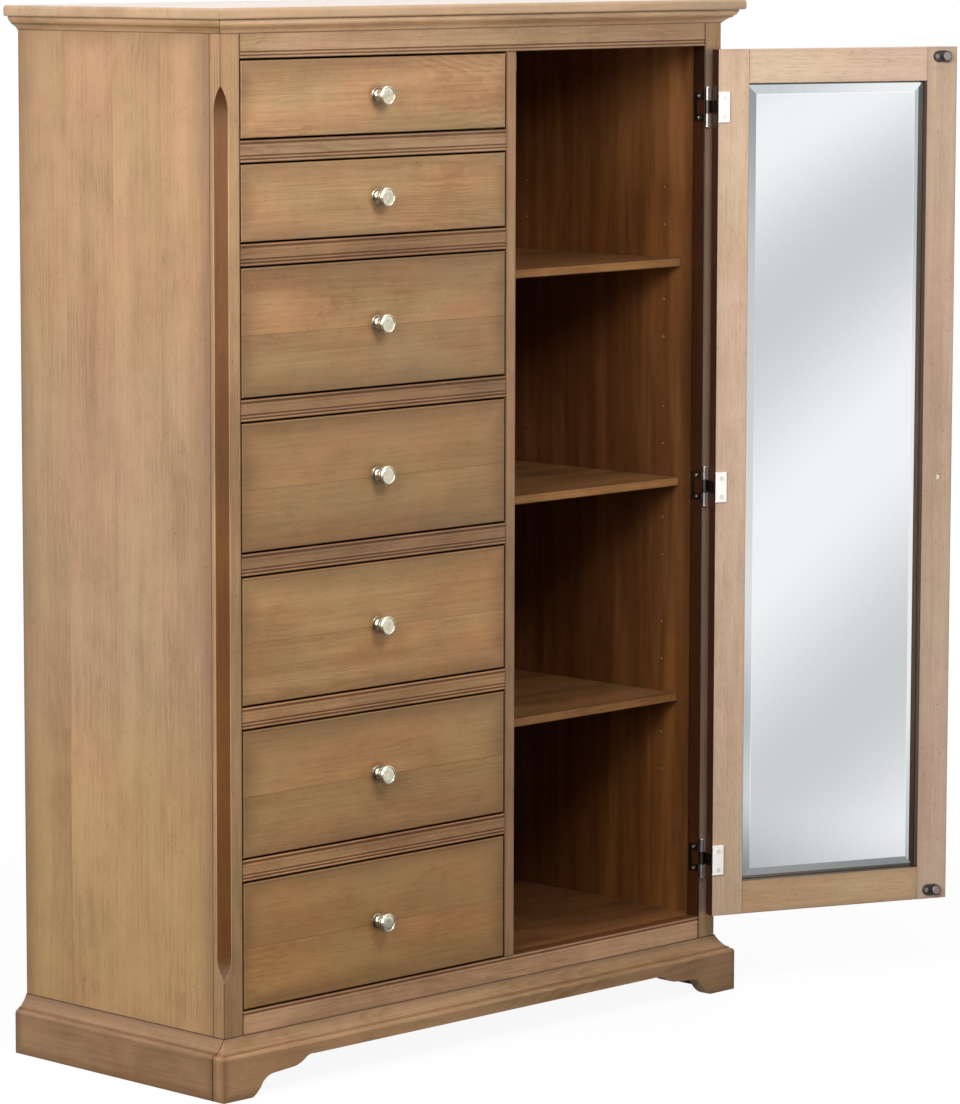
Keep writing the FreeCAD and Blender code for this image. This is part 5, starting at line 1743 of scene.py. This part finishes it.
@dataclass(frozen=True)
class Studio:
    """Pale floor, white background, soft lamps and the photograph's camera."""

    place: tuple[float, float, float] = (-5.0472, -5.2946, 1.6041)
    yaw: float = math.radians(43.94)
    pitch: float = math.radians(7.133)
    roll: float = math.radians(-0.127)
    focal_pixels: float = 4936.8
    centre_pixels: tuple[float, float] = (308.06, 544.5)
    frame_pixels: tuple[float, float] = (960.0, 1104.0)
    sensor: float = 36.0
    floor_bounce: Colour = (0.30, 0.29, 0.28)
    mirror_ahead: float = -0.59
    mirror_aside: float = 0.52
    mirror_slant: float = 0.0645
    view_distance: float = 7.4
    pool_turns: tuple[float, float] = (0.638, 10.43)
    pool_start: float = -0.943
    pool_light: tuple[float, float] = (0.852, 0.167)
    pool_reach: tuple[float, float] = (0.10, 0.05)
    pool_nearest: float = 0.3
    dark_span: tuple[float, float] = (0.72, 0.96)
    dark_share: float = 0.25
    ambient: float = 0.26
    floor_half: float = 150.0
    floor_white: Colour = (0.90, 0.90, 0.90)
    near_glow: tuple[float, float, float, float] = (0.9, 2.2, 0.30, 1.0)
    near_white: tuple[float, float, float, float] = (0.8, 2.6, 0.93, 1.0)
    sight_end: float = 500.0
    lamps: tuple[Lamp, ...] = (
        Lamp("key", (-3.7, -1.5, 2.1), (0.0, -0.3, 1.0), 2.4, 160.0),
        Lamp("front", (-0.7, -2.0, 2.25), (0.1, -0.3, 1.75), 0.9, 35.0),
        Lamp("overhead", (0.0, -0.4, 4.2), (0.0, -0.3, 0.8), 2.4, 50.0),
        Lamp("fill", (3.4, 2.4, 1.9), (0.1, 0.0, 0.9), 2.4, 95.0, mirrored=False),
    )

    def build_camera(self) -> None:
        """Camera that looks along the photograph's line, a long lens set low and to the left."""
        level_share = math.cos(self.pitch)
        forward = Vector(
            (math.sin(self.yaw) * level_share, math.cos(self.yaw) * level_share, -math.sin(self.pitch))
        )
        level = Vector((math.cos(self.yaw), -math.sin(self.yaw), 0))
        upright = level.cross(forward)
        right = level * math.cos(self.roll) + upright * math.sin(self.roll)
        above = upright * math.cos(self.roll) - level * math.sin(self.roll)
        matrix = Matrix((right, above, -forward)).transposed().to_4x4()
        matrix.translation = Vector(self.place)
        lens = bpy.data.cameras.new("photo_camera")
        lens.sensor_width = self.sensor
        lens.lens = self.focal_pixels / max(self.frame_pixels) * self.sensor
        lens.shift_x = (self.frame_pixels[0] / 2 - self.centre_pixels[0]) / max(self.frame_pixels)
        lens.shift_y = (self.centre_pixels[1] - self.frame_pixels[1] / 2) / max(self.frame_pixels)
        lens.clip_end = self.sight_end
        camera = bpy.data.objects.new("photo_camera", lens)
        camera.matrix_world = matrix
        bpy.context.scene.collection.objects.link(camera)
        bpy.context.scene.camera = camera

    def build_floor(self) -> None:
        """A wide pale floor that looks white to the camera and still takes a soft shadow."""
        signs = np.array([(-1, -1, 0), (1, -1, 0), (1, 1, 0), (-1, 1, 0)])
        mesh = bpy.data.meshes.new("floor")
        mesh.from_pydata((signs * self.floor_half).tolist(), [], [(0, 1, 2, 3)])
        floor = bpy.data.objects.new("floor", mesh)
        bpy.context.scene.collection.objects.link(floor)
        shader = Shader(bpy.data.materials.new("pale_floor"))
        camera_ray, mirrored = self.rays(shader)
        pale = shader.mix(camera_ray, self.floor_bounce, self.floor_white)
        plain = shader.node("ShaderNodeBsdfDiffuse", {}, {"Color": pale})
        x, y, _ = shader.split(shader.node("ShaderNodeTexCoord", {}, {}, 3))
        away = (x * x + y * y) ** 0.5
        glow = self.pools(x, y) * self.dark_side(x / away, y / away) * away.ramp(*self.near_glow)
        strength = (camera_ray + glow * (1 - camera_ray)).least(1.0)
        white = shader.node("ShaderNodeEmission", {}, {"Color": (1, 1, 1, 1), "Strength": strength})
        share = camera_ray * away.ramp(*self.near_white) + mirrored
        paint(floor, shader.finish(shader.node("ShaderNodeMixShader", {}, [share, plain, white])))

    def rays(self, shader: Shader) -> tuple[Value, Value]:
        """What a ray is.

        Args:
            shader: the material or the world.

        Returns:
            1 where the camera looks straight at it, and 1 where it is seen in a mirror or through glass.
        """
        path = shader.add("ShaderNodeLightPath", {}, {})
        names = ("Is Camera Ray", "Is Glossy Ray", "Is Transmission Ray")
        camera_ray, glossy_ray, glass_ray = (Value(shader, path.outputs[name]) for name in names)
        return camera_ray, (glossy_ray + glass_ray).least(1.0)

    def pools(self, x: Value, y: Value) -> Value:
        """Soft pools of light on the floor ahead of the mirror, as reflections see them.

        The brightness is a middle value plus the sine of an angle. The angle turns evenly with the
        logarithm of the distance ahead of the door, and with the distance aside over that seen from the
        camera's distance, so the pools lie askew and grow with distance. They fade out to the sides.

        Args:
            x: the floor's X.
            y: the floor's Y.

        Returns:
            The brightness.
        """
        ahead = (y * -1.0 - self.mirror_ahead).most(self.pool_nearest)
        aside = (x - self.mirror_aside - ahead * self.mirror_slant) / (ahead + self.view_distance)
        turns = ahead.log() * self.pool_turns[0] - aside * self.pool_turns[1] + self.pool_start
        depth = abs(aside).ramp(*self.pool_reach) * self.pool_light[1]
        return (turns * math.tau).sine() * depth + self.pool_light[0]

    def dark_side(self, x: Value, y: Value) -> Value:
        """How bright a direction is in reflections: darker towards the side that the camera is on."""
        towards = x * (-math.sin(self.yaw)) - y * math.cos(self.yaw)
        return towards.ramp(*self.dark_span, 1.0, self.dark_share)

    def build_lamps(self) -> None:
        """A broad key from the camera's left, a small front lamp, one overhead and a fill from behind."""
        for lamp in self.lamps:
            light = bpy.data.lights.new(lamp.name, "AREA")
            light.shape = "SQUARE"
            light.size = lamp.size
            light.energy = lamp.power
            item = bpy.data.objects.new(lamp.name, light)
            item.location = lamp.place
            item.rotation_euler = (Vector(lamp.aim) - Vector(lamp.place)).to_track_quat("-Z", "Y").to_euler()
            item.visible_camera = False
            item.visible_glossy = lamp.mirrored
            bpy.context.scene.collection.objects.link(item)

    def build_world(self) -> None:
        """White to the camera, darker near the horizon in reflections, a plain soft light to the rest."""
        world = bpy.data.worlds.new("studio")
        bpy.context.scene.world = world
        shader = Shader(world)
        camera_ray, mirrored = self.rays(shader)
        x, y, _ = shader.split(shader.node("ShaderNodeTexCoord", {}, {}, 0))
        sky = (self.dark_side(x, y) - self.ambient) * mirrored
        strength = camera_ray * (1 - self.ambient) + sky + self.ambient
        shader.finish(shader.node("ShaderNodeBackground", {}, {"Color": (1, 1, 1, 1), "Strength": strength}))

    def build(self) -> None:
        """Camera, floor, lamps and world, with the plain view transform."""
        self.build_camera()
        self.build_floor()
        self.build_lamps()
        self.build_world()
        bpy.context.scene.view_settings.view_transform = "Standard"


def main() -> None:
    """Build and dress the chest piece by piece, then its studio."""
    Studio().build()
    log.info("studio ready")
    case = Case()
    case.dress()
    mouldings = Mouldings()
    mouldings.dress(mouldings.build())
    log.info("case dressed")
    for number in range(1, 8):
        drawer = Drawer(number)
        drawer.dress()
        drawer.build_knob(Knob())
        log.info("drawer %d ready", number)
    door = Door()
    door.dress()
    door.build_knob(Knob())
    door.build_catches()
    door.build_hinge_screws()
    log.info("door ready")


if __name__ == "__main__":
    main()
